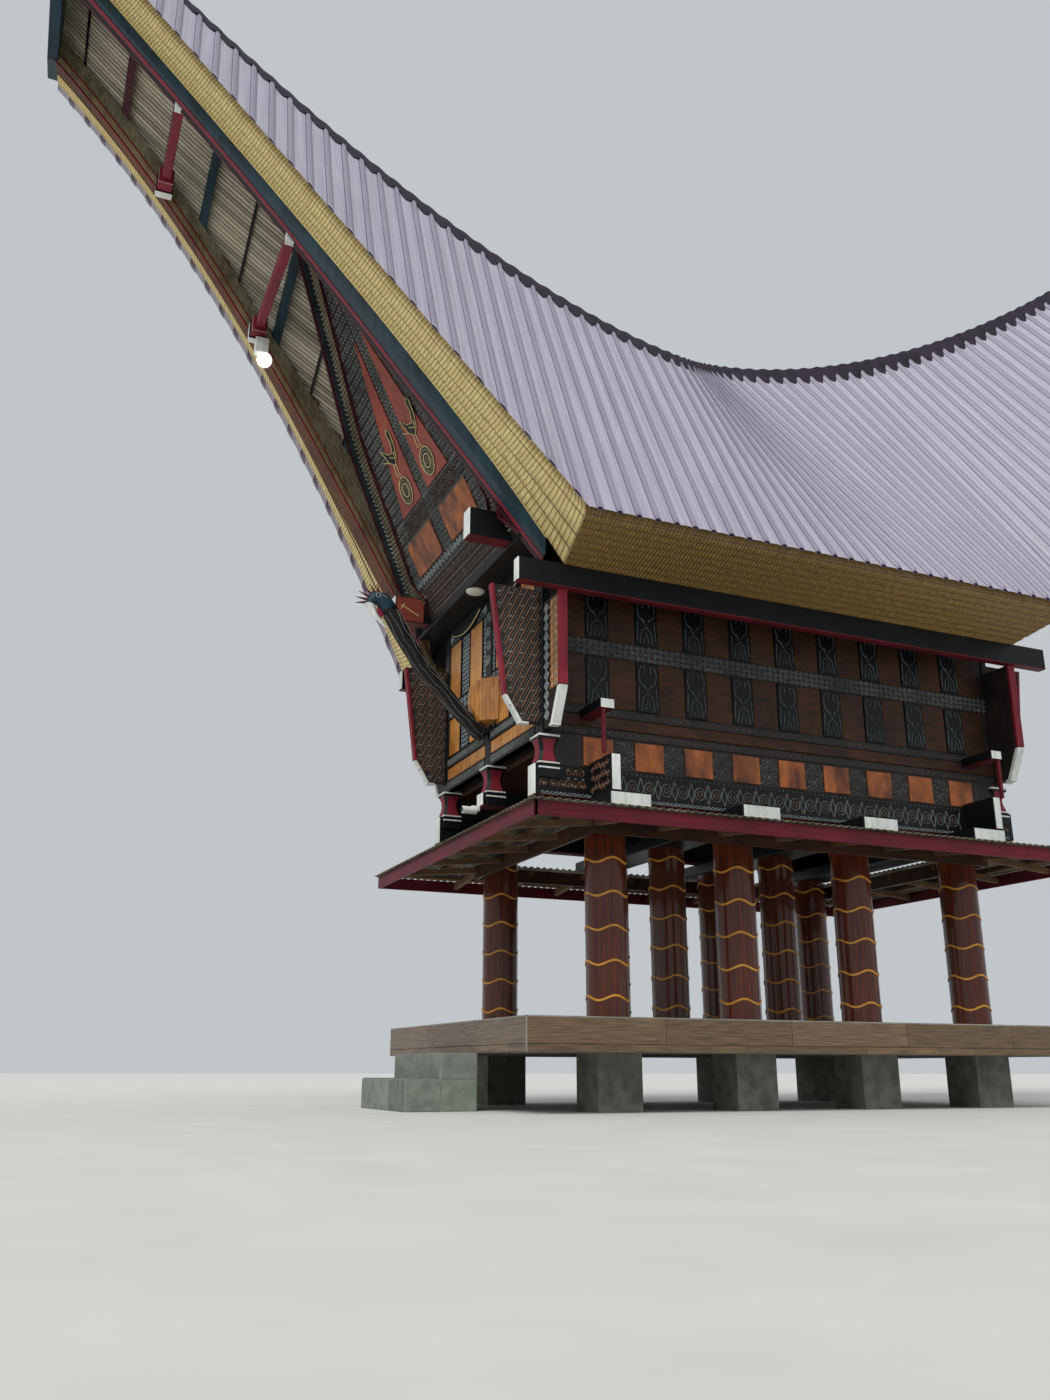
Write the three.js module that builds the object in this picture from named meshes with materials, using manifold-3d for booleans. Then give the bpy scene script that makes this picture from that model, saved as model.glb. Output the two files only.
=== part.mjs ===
// A Torajan rice barn (alang) with a saddle-shaped tongkonan roof, in millimetres, +Z up.
// The front gable looks along -Y, +X is the right-hand long side seen from the front,
// and the origin is on the ground under the middle of the barn.
import * as THREE from "three";
import { mergeVertices } from "three/addons/utils/BufferGeometryUtils.js";
import Module from "manifold-3d";

const wasm = await Module();
wasm.setup();

// Masonry base
const PLATFORM_X = 1740;
const PLATFORM_Y = 2915;
const PLATFORM_BOTTOM = 455;
const PLATFORM_TOP = 715;
const PIER = 400;
const STEP_LEFT = -550;
const STEP_RIGHT = 700;
const LOWER_STEP_Y = 3535;
const LOWER_STEP_TOP = 250;
const UPPER_STEP_Y = 3235;

// Round palm columns and the planks across their tops
const COLUMN_D = 360;
const COLUMN_X = 1200;
const COLUMN_ROWS = [-1950, -650, 650, 1950];
const COLUMN_TOP = 2430;
const COLUMN_SIDES = 24;
const PLANK_X = 1700;
const PLANK_WIDE = 390;
const PLANK_TOP = 2550;
const CROSS_BEAM_CLEARANCE = 5;

// Beams under the store
const BASE_BEAM_X = 1230;
const BASE_BEAM_WIDE = 150;
const BASE_BEAM_Y = 2660;
const BASE_BEAM_TOP = 2830;
const MIDDLE_BEAM_BOTTOM = 2700;
const CROSS_BEAM_Y = 2085;
const CROSS_BEAM_THICK = 90;
const CROSS_BEAM_X = 1700;
const CROSS_BEAM_TOP = 2873;

// Pent roof round the columns
const PENT_X = 2090;
const PENT_Y = 2985;
const PENT_EDGE_TOP = 2310;
const PENT_INNER_TOP = 2400;
const PENT_SHEET = 25;
const FASCIA_THICK = 25;
const FASCIA_BOTTOM = 2190;

// Store: walls, posts and the short posts (capitals) that carry the gables
const WALL_X = 1280;
const WALL_THICK = 60;
const FACADE_Y = 2565;
const FACADE_BOTTOM = 3090;
const WALL_TOP = 4890;
const SIDE_WALL_LOW_END = 2395;
const NOTCH_CLEARANCE = 1;
const FLOOR_BOTTOM = 3040;
const SILL_THICK = 40;
const GABLE_SHELF_Y = 2860;
const GABLE_SHELF_THICK = 40;
const GABLE_SHELF_X = 1430;
const POST = 140;
const POST_X = 1220;
const POST_FRONT_Y = 2585;
const CAPITAL = 195;
const CAPITAL_FOOT = 165;
const CAPITAL_SPREAD = 185;
const CAPITAL_SPREAD_Z = 2890;
const CAPITAL_WAIST = 145;
const CAPITAL_WAIST_Z = 2980;
const CAPITAL_Y = 2525;
const WING_X = 1660;
const WING_BOTTOM = 3134;
const WING_ROOT = 5;
const WING_CUT = 150;
const WING_CUT_TOP = 3434;
const WING_TOP = 4310;
const TIE_END_Y = 2155;
const TIE_END_WIDE = 135;
const TIE_END_BOTTOM = 3260;
const TIE_END_TOP = 3350;
const TIE_END_X = 1700;

// Carved fins in front of the corner posts
const FIN_X = 1240;
const FIN_THICK = 60;
const FIN_TOP = 4430;
const FIN_TOP_Y = 3062;
const FIN_KNEE = 3414;
const FIN_KNEE_Y = 2930;
const FIN_FOOT = 3187;
const FIN_FOOT_Y = 2788;

// Plates under the eaves and beams through the gables
const PLATE_INNER_X = 1600;
const PLATE_OUTER_X = 1700;
const PLATE_Y = 2985;
const PLATE_BOTTOM = 4310;
const PLATE_TOP = 4530;
const UPPER_BEAM_X = 1130;
const UPPER_BEAM_WIDE = 150;
const UPPER_BEAM_TOP = 5170;
const UPPER_BEAM_Y = 3255;

// Saddle roof: ridge curve, eave and rake
const RIDGE_MIDDLE = 8200;
const RIDGE_RISE = 157;
const RIDGE_POWER = 1.6;
const RIDGE_END = 7300;
const EAVE_X = 2500;
const EAVE_Y = 2697;
const EAVE_Z = 4673;
const RAKE_END_X = 1120;
const RAKE_END_Y = 7245;
const RAKE_RISE = 1.605;
const RAKE_FLATTENING = 0.0736;
const RIB_LEAN = 690;
const RIB_LEAN_LOSS = 0.1045;
const RIB_LEAN_START = 150;
const RIB_PITCH = 179;
const RIB_BASE = 60;
const RIB_TOP = 28;
const RIB_HEIGHT = 24;
const ROOF_DEPTH = 620;
const SHEET_EDGE = 25;
const BAND_INSET = 100;
const BAND_EDGE = 80;
const BAND_CLEARANCE = 5;
const BAND_INNER = 120;
const BAND_NARROW = 430;
const BAND_WIDENING = 370;
const BAND_NARROW_FROM = 5900;
const BAND_DROP = 140;
const BAND_DROP_LOSS = 0.06;
const BAND_DROP_LOSS_FROM = 4000;
const SOFFIT_CLEARANCE = 40;
const BOARD_CLEARANCE = 2;
const BOARD_THICK = 100;
const BOARD_DROP = 170;
const BOARD_LOW_END = 2850;
const PROW_BOARD_THICK = 40;
const PROW_BOARD_INSET = 60;
const PROW_BOARD_TOP_INSET = 20;

// Ridge cap, in three lengths
const CAP_HALF = 150;
const CAP_TOP = 70;
const CAP_JOINT_Y = 2430;
const CAP_STEPS = 8;
const CAP_CLEARANCE = 2;

// Leaning gable panel
const PANEL_FOOT_Y = 2820;
const PANEL_SLOPE = 2.1;
const PANEL_THICK = 60;
const PANEL_REVEAL = 35;
const PANEL_FOOT = 4891;
const PANEL_LEVELS = 12;
const PANEL_TOP_LEVEL = 9200;
const PANEL_SEARCH_STEP = 5;

// Ties between the bargeboards
const RAKE_TIES = [
  { y: 4957, z: 7798, halfLength: 860 },
  { y: 6056, z: 9128, halfLength: 640 },
];
const TIE_WIDE = 90;
const TIE_HIGH = 120;
const TIE_BLOCK_LONG = 190;
const TIE_BLOCK_WIDE = 170;
const TIE_BLOCK_HIGH = 200;

// Bird's head and neck: along the barn, up, half its width and half its depth
const KATIK_SIDES = 10;
const KATIK_ROUTE = [
  [-2628, 3385, 60, 60],
  [-2700, 3450, 75, 75],
  [-2870, 3600, 70, 70],
  [-3080, 3830, 65, 68],
  [-3240, 3970, 66, 76],
  [-3360, 4150, 66, 78],
  [-3480, 4320, 68, 80],
  [-3620, 4560, 74, 82],
  [-3690, 4640, 84, 80],
  [-3770, 4650, 74, 70],
  [-3820, 4580, 46, 46],
  [-3760, 4480, 28, 28],
  [-3650, 4370, 8, 9],
];

// Faceted block over the foot of the neck
const KABONGO_HALF = 135;
const KABONGO_BACK_LOW = 3545;
const KABONGO_BACK_HIGH = 3960;
const KABONGO_FACE = [
  [-2805, 3985],
  [-2880, 3855],
  [-2810, 3680],
];

// Clearance where two pieces touch, and how far joined bodies lap into each other
const GAP = 0.3;
const LAP = 1;

// Rounds in which a place on a curve is narrowed down
const HALVINGS = 40;

const COLOURS = {
  tile: 0x6f5646,
  stoneTile: 0x6d7a78,
  palm: 0x54200f,
  blackWood: 0x1c2226,
  carvedWood: 0x4a3327,
  orangeWood: 0xb8793c,
  redWood: 0x7d2430,
  tealBoard: 0x22383f,
  sheet: 0xa596ad,
  ridge: 0x4a3440,
  bamboo: 0xcdb06a,
};

function finish(colour, roughness = 0.7, metalness = 0) {
  return new THREE.MeshStandardMaterial({ color: colour, roughness, metalness });
}

// Solids

function box(x0, x1, y0, y1, z0, z1) {
  const geometry = new THREE.BoxGeometry(x1 - x0, y1 - y0, z1 - z0);
  return geometry.translate((x0 + x1) / 2, (y0 + y1) / 2, (z0 + z1) / 2);
}

// A closed body through a row of sections with the same number of points each.
function loft(sections) {
  const count = sections[0].length;
  const points = sections.flat().map(([x, y, z]) => new THREE.Vector3(x, y, z));
  const faces = [];
  for (let s = 0; s + 1 < sections.length; s += 1) {
    for (let i = 0; i < count; i += 1) {
      const a = s * count + i;
      const b = s * count + ((i + 1) % count);
      faces.push([a, b, b + count], [a, b + count, a + count]);
    }
  }
  for (const [start, turned] of [[0, true], [points.length - count, false]]) {
    for (const [a, b, c] of capFaces(points.slice(start, start + count))) {
      faces.push(turned ? [start + c, start + b, start + a] : [start + a, start + b, start + c]);
    }
  }
  let volume = 0;
  for (const [a, b, c] of faces) {
    volume += points[a].dot(points[b].clone().cross(points[c]));
  }
  const outward = volume > 0 ? faces : faces.map(([a, b, c]) => [c, b, a]);
  const geometry = new THREE.BufferGeometry().setFromPoints(points);
  geometry.setIndex(outward.flat());
  geometry.computeVertexNormals();
  return geometry;
}

// Triangles of one end section, cut in the plane it lies in.
function capFaces(points) {
  const normal = new THREE.Vector3();
  points.forEach((p, i) => {
    normal.add(p.clone().cross(points[(i + 1) % points.length]));
  });
  const turn = new THREE.Quaternion().setFromUnitVectors(normal.normalize(), new THREE.Vector3(0, 0, 1));
  const flat = points.map((p) => {
    const q = p.clone().applyQuaternion(turn);
    return new THREE.Vector2(q.x, q.y);
  });
  return THREE.ShapeUtils.triangulateShape(flat, []);
}

// A box between two X and two Y values given in any order.
function boxBetween(xa, xb, ya, yb, z0, z1) {
  return box(Math.min(xa, xb), Math.max(xa, xb), Math.min(ya, yb), Math.max(ya, yb), z0, z1);
}

// A plate whose outline lies in the YZ plane, between two X values.
function plateYZ(outline, x0, x1) {
  return loft([x0, x1].map((x) => outline.map(([y, z]) => [x, y, z])));
}

// A plate whose outline lies in the XZ plane, between two Y values.
function plateXZ(outline, y0, y1) {
  return loft([y0, y1].map((y) => outline.map(([x, z]) => [x, y, z])));
}

function solid(geometry) {
  const bare = geometry.clone();
  bare.deleteAttribute("normal");
  bare.deleteAttribute("uv");
  const merged = mergeVertices(bare, 1e-3);
  return new wasm.Manifold(
    new wasm.Mesh({
      numProp: 3,
      vertProperties: merged.attributes.position.array,
      triVerts: new Uint32Array(merged.index.array),
    }),
  );
}

function geometryOf(manifold) {
  const mesh = manifold.getMesh();
  const geometry = new THREE.BufferGeometry();
  geometry.setAttribute("position", new THREE.BufferAttribute(mesh.vertProperties, 3));
  geometry.setIndex(new THREE.BufferAttribute(mesh.triVerts, 1));
  geometry.computeVertexNormals();
  return geometry;
}

function joined(geometries) {
  return geometryOf(geometries.map(solid).reduce((a, b) => a.add(b)));
}

function cut(geometry, tools) {
  return geometryOf(tools.map(solid).reduce((a, b) => a.subtract(b), solid(geometry)));
}

// Roof lines

function ridgeHeight(y) {
  return RIDGE_MIDDLE + RIDGE_RISE * (Math.abs(y) / 1000) ** RIDGE_POWER;
}

// How far a rib's foot lies nearer the prow than its head on the ridge.
function ribLean(ridgeY) {
  const y = Math.abs(ridgeY);
  return (RIB_LEAN - RIB_LEAN_LOSS * y) * (1 - Math.exp(-y / RIB_LEAN_START));
}

function sheetEdge(footY) {
  if (footY <= EAVE_Y) return { x: EAVE_X, z: EAVE_Z };
  const along = (footY - EAVE_Y) / 1000;
  const left = (RAKE_END_Y - footY) / (RAKE_END_Y - EAVE_Y);
  return {
    x: RAKE_END_X + (EAVE_X - RAKE_END_X) * left * left,
    z: EAVE_Z + 1000 * (RAKE_RISE * along - RAKE_FLATTENING * along * along),
  };
}

function bandWidth(footY) {
  const left = Math.max(0, BAND_NARROW_FROM - Math.max(footY, EAVE_Y)) / (BAND_NARROW_FROM - EAVE_Y);
  return BAND_NARROW + BAND_WIDENING * left * left;
}

function bandDrop(footY) {
  return BAND_DROP - BAND_DROP_LOSS * Math.max(0, footY - BAND_DROP_LOSS_FROM);
}

// One rib line of the roof: every height that the roof's layers need, at a place on the ridge.
function ribLine(ridgeY) {
  const side = Math.sign(ridgeY) || 1;
  const lean = ribLean(ridgeY);
  const foot = Math.abs(ridgeY) + lean;
  const edge = sheetEdge(foot);
  const top = ridgeHeight(ridgeY);
  const slope = (top - edge.z) / edge.x;
  const bandX = edge.x - bandWidth(foot);
  const bandZ = edge.z - bandDrop(foot);
  const underside = edge.z + (edge.x - bandX) * slope - ROOF_DEPTH;
  const soffitZ = Math.max(bandZ + BAND_INNER + SOFFIT_CLEARANCE, underside);
  const at = (x, z) => [x, side * (Math.abs(ridgeY) + (lean * Math.abs(x)) / edge.x), z];
  const steepness = Math.hypot(1, slope);
  return { ridgeY, foot, edge, top, slope, steepness, bandX, bandZ, soffitZ, at };
}

// Ridge place whose rib ends at a given place along the eave or rake.
function ridgePlaceOf(footY) {
  let low = 0;
  let high = RIDGE_END;
  for (let i = 0; i < HALVINGS; i += 1) {
    const middle = (low + high) / 2;
    if (middle + ribLean(middle) < footY) low = middle;
    else high = middle;
  }
  return (low + high) / 2;
}

// Ridge places of the sections that the roof is drawn through: where the eave and the boards begin,
// and at both sides of each rib's base and top.
function ribPlaces() {
  const feet = [EAVE_Y, BOARD_LOW_END];
  const lastFoot = RIDGE_END + ribLean(RIDGE_END);
  for (let middle = RIB_PITCH / 2; middle + RIB_BASE / 2 < lastFoot; middle += RIB_PITCH) {
    for (const half of [RIB_BASE / 2, RIB_TOP / 2]) feet.push(middle - half, middle + half);
  }
  const front = [...feet.map(ridgePlaceOf), RIDGE_END];
  return [...front.map((y) => -y), ...front].sort((a, b) => a - b);
}

// How far the ribbed sheet stands up over its flat parts, by the place along the eave or rake.
function sheetRise(foot) {
  const offset = Math.abs((foot % RIB_PITCH) - RIB_PITCH / 2);
  const share = (RIB_BASE / 2 - offset) / (RIB_BASE / 2 - RIB_TOP / 2);
  return RIB_HEIGHT * Math.min(1, Math.max(0, share));
}

const RIBS = ribPlaces().map(ribLine);

function mirroredX(sections, side) {
  return sections.map((section) => section.map(([x, y, z]) => [side * x, y, z]));
}

// Ribbed sheet, battens and bamboo of one slope.
function roofSlope(side) {
  const sections = RIBS.map(({ foot, edge, top, steepness, bandX, bandZ, soffitZ, at }) => {
    const rise = sheetRise(foot) * steepness;
    return [
      at(edge.x, edge.z + rise),
      at(GAP, top + rise),
      at(GAP, top - ROOF_DEPTH),
      at(bandX, soffitZ),
      at(bandX, bandZ + BAND_INNER + GAP),
      at(edge.x - BAND_INSET + BAND_CLEARANCE, edge.z + BAND_EDGE + BAND_CLEARANCE),
      at(edge.x - SHEET_EDGE, edge.z),
    ];
  });
  return loft(mirroredX(sections, side));
}

// Thick layered bamboo along the eave and both rakes of one slope.
function bambooEdge(side) {
  const sections = RIBS.map(({ edge, bandX, bandZ, at }) => [
    at(edge.x - BAND_INSET, edge.z),
    at(bandX, bandZ),
    at(bandX, bandZ + BAND_INNER),
    at(edge.x - BAND_INSET, edge.z + BAND_EDGE),
  ]);
  return loft(mirroredX(sections, side));
}

// Board that hangs inside the bamboo along one rake.
function bargeboard(side, end) {
  const ribs = RIBS.filter((rib) => rib.foot > BOARD_LOW_END - LAP && Math.sign(rib.ridgeY) === end);
  const sections = ribs.map(({ bandX, bandZ, soffitZ, at }) => [
    at(bandX - GAP, bandZ - BOARD_DROP),
    at(bandX - GAP, soffitZ - BOARD_CLEARANCE),
    at(bandX - BOARD_THICK, soffitZ - BOARD_CLEARANCE),
    at(bandX - BOARD_THICK, bandZ - BOARD_DROP),
  ]);
  return loft(mirroredX(sections, side));
}

// One length of the folded ridge cap, which lies on the ribs of both slopes.
function ridgeCap(startY, endY) {
  const places = Array.from({ length: CAP_STEPS + 1 }, (_, i) => startY + ((endY - startY) * i) / CAP_STEPS);
  const sections = places.map(ribLine).map(({ top, slope, steepness, at }) => {
    const low = RIB_HEIGHT * steepness + CAP_CLEARANCE;
    const edgeZ = top - slope * CAP_HALF;
    return [
      at(0, top + CAP_TOP),
      at(CAP_HALF, edgeZ + CAP_TOP),
      at(CAP_HALF, edgeZ + low),
      at(0, top + low),
      at(-CAP_HALF, edgeZ + low),
      at(-CAP_HALF, edgeZ + CAP_TOP),
    ];
  });
  return loft(sections);
}

// Upright board that closes the open end of the prow.
function prowBoard(end) {
  const rib = ribLine(RIDGE_END);
  const wide = rib.edge.x - PROW_BOARD_INSET;
  const narrow = rib.bandX - BOARD_THICK;
  const outline = [
    [0, rib.top - PROW_BOARD_TOP_INSET],
    [wide, rib.edge.z + PROW_BOARD_INSET],
    [narrow, rib.bandZ - BOARD_DROP],
    [-narrow, rib.bandZ - BOARD_DROP],
    [-wide, rib.edge.z + PROW_BOARD_INSET],
  ];
  const y0 = RIDGE_END + GAP;
  return plateXZ(outline, end * y0, end * (y0 + PROW_BOARD_THICK));
}

// Gable panel between the bargeboards

// Half the free width between the slopes and boards at a distance y along the barn and a height z.
function roofHalfWidth(y, z) {
  let x = 0;
  while (isFree(x, y, z)) x += PANEL_SEARCH_STEP;
  return x;
}

// Whether a point lies under the slope and inside the bargeboard.
function isFree(x, y, z) {
  const rib = ribLine(ridgeUnder(x, y));
  const climb = (rib.top - ROOF_DEPTH - rib.soffitZ) / rib.bandX;
  return x <= rib.bandX - BOARD_THICK && z <= rib.soffitZ + (rib.bandX - x) * climb;
}

// Ridge place of the rib that passes over a point x from the middle at a distance y along the barn.
function ridgeUnder(x, y) {
  let ridgeY = y;
  for (let i = 0; i < HALVINGS; i += 1) {
    const { edge } = ribLine(ridgeY);
    ridgeY = y - (ribLean(ridgeY) * x) / edge.x;
  }
  return ridgeY;
}

function panelY(z) {
  return PANEL_FOOT_Y + (z - PANEL_FOOT) / PANEL_SLOPE;
}

// Height at which the panel's back reaches the underside of the ridge.
function panelApex() {
  let z = PANEL_TOP_LEVEL;
  while (z < ridgeHeight(panelY(z) - PANEL_THICK) - ROOF_DEPTH) z += PANEL_SEARCH_STEP;
  return z - 2 * PANEL_REVEAL;
}

function gablePanel(end) {
  const levels = Array.from(
    { length: PANEL_LEVELS },
    (_, i) => PANEL_FOOT + ((PANEL_TOP_LEVEL - PANEL_FOOT) * i) / (PANEL_LEVELS - 1),
  );
  const right = levels.map((z) => [roofHalfWidth(panelY(z) - PANEL_THICK, z) - PANEL_REVEAL, z]);
  const outline = [...right, [0, panelApex()], ...right.reverse().map(([x, z]) => [-x, z])];
  const sections = [0, PANEL_THICK].map((back) => outline.map(([x, z]) => [x, end * (panelY(z) - back), z]));
  const beamHoles = [-1, 1].map((side) => upperBeamBox(side, GAP * 2));
  return cut(loft(sections), beamHoles);
}

function upperBeamBox(side, grow = 0) {
  const x0 = side * UPPER_BEAM_X - UPPER_BEAM_WIDE / 2 - grow;
  const x1 = side * UPPER_BEAM_X + UPPER_BEAM_WIDE / 2 + grow;
  return box(x0, x1, -UPPER_BEAM_Y, UPPER_BEAM_Y, WALL_TOP - grow, UPPER_BEAM_TOP + grow);
}

function rakeTie({ y, z, halfLength }, end) {
  const around = (x0, x1, wide, high) =>
    boxBetween(x0, x1, end * y - wide / 2, end * y + wide / 2, z - high / 2, z + high / 2);
  const block = around(-halfLength, TIE_BLOCK_LONG - halfLength, TIE_BLOCK_WIDE, TIE_BLOCK_HIGH);
  return joined([around(-halfLength, halfLength, TIE_WIDE, TIE_HIGH), block]);
}

// Base

function platform() {
  const slab = box(-PLATFORM_X, PLATFORM_X, -PLATFORM_Y, PLATFORM_Y, PLATFORM_BOTTOM, PLATFORM_TOP);
  const piers = COLUMN_ROWS.flatMap((y) =>
    [-COLUMN_X, COLUMN_X].map((x) =>
      box(x - PIER / 2, x + PIER / 2, y - PIER / 2, y + PIER / 2, 0, PLATFORM_BOTTOM + LAP),
    ),
  );
  return joined([slab, ...piers]);
}

function frontSteps() {
  const outline = [
    [-LOWER_STEP_Y, 0],
    [-PLATFORM_Y, 0],
    [-PLATFORM_Y, PLATFORM_BOTTOM],
    [-UPPER_STEP_Y, PLATFORM_BOTTOM],
    [-UPPER_STEP_Y, LOWER_STEP_TOP],
    [-LOWER_STEP_Y, LOWER_STEP_TOP],
  ];
  return plateYZ(outline, STEP_LEFT, STEP_RIGHT);
}

function column(x, y) {
  const height = COLUMN_TOP - PLATFORM_TOP;
  const geometry = new THREE.CylinderGeometry(COLUMN_D / 2, COLUMN_D / 2, height, COLUMN_SIDES);
  return geometry.rotateX(Math.PI / 2).translate(x, y, PLATFORM_TOP + height / 2);
}

// Beams

function baseBeamBox(side, grow = 0) {
  const x0 = side * BASE_BEAM_X - BASE_BEAM_WIDE / 2 - grow;
  const x1 = side * BASE_BEAM_X + BASE_BEAM_WIDE / 2 + grow;
  return box(x0, x1, -BASE_BEAM_Y, BASE_BEAM_Y, PLANK_TOP - grow, BASE_BEAM_TOP + grow);
}

function middleBeamBox(grow = 0) {
  const half = BASE_BEAM_WIDE / 2 + grow;
  return box(-half, half, -BASE_BEAM_Y, BASE_BEAM_Y, MIDDLE_BEAM_BOTTOM - grow, BASE_BEAM_TOP + grow);
}

function tallCrossBeam(end) {
  const y0 = end * CROSS_BEAM_Y - CROSS_BEAM_THICK / 2;
  const bottom = PLANK_TOP + CROSS_BEAM_CLEARANCE;
  const beam = box(-CROSS_BEAM_X, CROSS_BEAM_X, y0, y0 + CROSS_BEAM_THICK, bottom, CROSS_BEAM_TOP);
  return cut(beam, [baseBeamBox(-1, GAP), baseBeamBox(1, GAP), middleBeamBox(GAP)]);
}

// Pent roof

function pentSlopeFront(end) {
  const outer = [PENT_X - GAP, end * PENT_Y, PENT_EDGE_TOP];
  const inner = [COLUMN_X + COLUMN_D / 2 - GAP, end * (COLUMN_ROWS[3] + COLUMN_D / 2 + GAP), PENT_INNER_TOP];
  const sections = [outer, inner].map(([x, y, z]) => [
    [-x, y, z],
    [x, y, z],
    [x, y, z - PENT_SHEET],
    [-x, y, z - PENT_SHEET],
  ]);
  const x1 = PENT_X + FASCIA_THICK;
  const outerY = end * (PENT_Y + FASCIA_THICK);
  const fascia = boxBetween(-x1, x1, end * PENT_Y, outerY, FASCIA_BOTTOM, PENT_EDGE_TOP);
  return joined([loft(sections), fascia]);
}

function pentSlopeSide(side) {
  const outer = [side * PENT_X, PENT_Y - GAP, PENT_EDGE_TOP];
  const inner = [side * (COLUMN_X + COLUMN_D / 2 + GAP), COLUMN_ROWS[3] + COLUMN_D / 2, PENT_INNER_TOP];
  const sections = [outer, inner].map(([x, y, z]) => [
    [x, -y, z],
    [x, y, z],
    [x, y, z - PENT_SHEET],
    [x, -y, z - PENT_SHEET],
  ]);
  const y1 = PENT_Y - GAP;
  const outerX = side * (PENT_X + FASCIA_THICK);
  const fascia = boxBetween(side * PENT_X, outerX, -y1, y1, FASCIA_BOTTOM, PENT_EDGE_TOP);
  return joined([loft(sections), fascia]);
}

// Store

function storeFloor() {
  const x = WALL_X - WALL_THICK - GAP;
  const y = CAPITAL_Y - CAPITAL / 2 - GAP;
  return box(-x, x, -y, y, FLOOR_BOTTOM, FACADE_BOTTOM);
}

function sideWall(side) {
  const end = FACADE_Y - WALL_THICK - GAP;
  const notch0 = CROSS_BEAM_Y - CROSS_BEAM_THICK / 2 - NOTCH_CLEARANCE;
  const notch1 = CROSS_BEAM_Y + CROSS_BEAM_THICK / 2 + NOTCH_CLEARANCE;
  const half = [
    [notch0, BASE_BEAM_TOP],
    [notch0, CROSS_BEAM_TOP + NOTCH_CLEARANCE],
    [notch1, CROSS_BEAM_TOP + NOTCH_CLEARANCE],
    [notch1, BASE_BEAM_TOP],
    [SIDE_WALL_LOW_END, BASE_BEAM_TOP],
    [SIDE_WALL_LOW_END, FACADE_BOTTOM + NOTCH_CLEARANCE],
    [end, FACADE_BOTTOM + NOTCH_CLEARANCE],
    [end, WALL_TOP],
  ];
  const outline = [...half, ...half.map(([y, z]) => [-y, z]).reverse()];
  const inner = side * (WALL_X - WALL_THICK);
  const tieEnds = [-TIE_END_Y, TIE_END_Y].map((y) => {
    const y0 = y - TIE_END_WIDE / 2;
    return boxBetween(inner, side * TIE_END_X, y0, y0 + TIE_END_WIDE, TIE_END_BOTTOM, TIE_END_TOP);
  });
  return joined([plateYZ(outline, inner, side * WALL_X), ...tieEnds]);
}

// Waisted block that carries a corner or middle post.
function capital(x, end) {
  const y = end * CAPITAL_Y;
  const levels = [
    [BASE_BEAM_TOP, CAPITAL_FOOT / 2],
    [CAPITAL_SPREAD_Z, CAPITAL_SPREAD / 2],
    [CAPITAL_WAIST_Z, CAPITAL_WAIST / 2],
    [FACADE_BOTTOM, CAPITAL / 2],
  ];
  const sections = levels.map(([z, half]) => [
    [x - half, y - half, z],
    [x + half, y - half, z],
    [x + half, y + half, z],
    [x - half, y + half, z],
  ]);
  return loft(sections);
}

// Side board beyond a corner post, with its foot cut back.
function wing(side, y0, y1) {
  const root = side * (WALL_X - WING_ROOT);
  const outer = side * WING_X;
  const outline = [
    [root, WING_TOP],
    [outer, WING_TOP],
    [outer, WING_CUT_TOP],
    [side * (WING_X - WING_CUT), WING_BOTTOM],
    [root, WING_BOTTOM],
  ];
  return plateXZ(outline, y0, y1);
}

function post(x, y0, y1) {
  const top = WALL_TOP - GABLE_SHELF_THICK + LAP;
  return boxBetween(x - POST / 2, x + POST / 2, y0, y1, FACADE_BOTTOM - LAP, top);
}

// Front or back wall with its sill, posts, waisted blocks, wings and the shelf under the panel.
function gableWall(end) {
  const front = end * FACADE_Y;
  const back = end * (FACADE_Y - WALL_THICK);
  const panel = boxBetween(-WALL_X, WALL_X, front, back, FACADE_BOTTOM, WALL_TOP);
  const sillX = WALL_X - WALL_THICK - GAP;
  const sillBack = end * (CAPITAL_Y - CAPITAL / 2);
  const sill = boxBetween(-sillX, sillX, front, sillBack, FACADE_BOTTOM, FACADE_BOTTOM + SILL_THICK);
  const shelfBottom = WALL_TOP - GABLE_SHELF_THICK;
  const shelf = boxBetween(-GABLE_SHELF_X, GABLE_SHELF_X, end * GABLE_SHELF_Y, back, shelfBottom, WALL_TOP);
  const wings = [-1, 1].map((side) => wing(side, front, back));
  const posts = [-POST_X, 0, POST_X].map((x) => post(x, end * POST_FRONT_Y, back));
  const capitals = [-POST_X, 0, POST_X].map((x) => capital(x, end));
  return joined([panel, sill, ...wings, ...posts, ...capitals, shelf]);
}

// Carved board that stands out from a corner post, with its foot cut back.
function fin(side, end) {
  const outline = [
    [POST_FRONT_Y + GAP, FIN_TOP],
    [FIN_TOP_Y, FIN_TOP],
    [FIN_KNEE_Y, FIN_KNEE],
    [FIN_FOOT_Y, FIN_FOOT],
    [POST_FRONT_Y + GAP, FIN_FOOT],
  ].map(([y, z]) => [end * y, z]);
  const x0 = side * FIN_X - FIN_THICK / 2;
  return plateYZ(outline, x0, x0 + FIN_THICK);
}

// Long-necked bird's head on the middle post of the front gable.
function katik() {
  const sections = KATIK_ROUTE.map(([y, z, wide, deep], i) => {
    const before = KATIK_ROUTE[Math.max(0, i - 1)];
    const after = KATIK_ROUTE[Math.min(KATIK_ROUTE.length - 1, i + 1)];
    const length = Math.hypot(after[0] - before[0], after[1] - before[1]);
    const across = [-(after[1] - before[1]) / length, (after[0] - before[0]) / length];
    const ring = [];
    for (let k = 0; k < KATIK_SIDES; k += 1) {
      const angle = (2 * Math.PI * k) / KATIK_SIDES;
      const out = deep * Math.sin(angle);
      ring.push([wide * Math.cos(angle), y + across[0] * out, z + across[1] * out]);
    }
    return ring;
  });
  return loft(sections);
}

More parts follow.
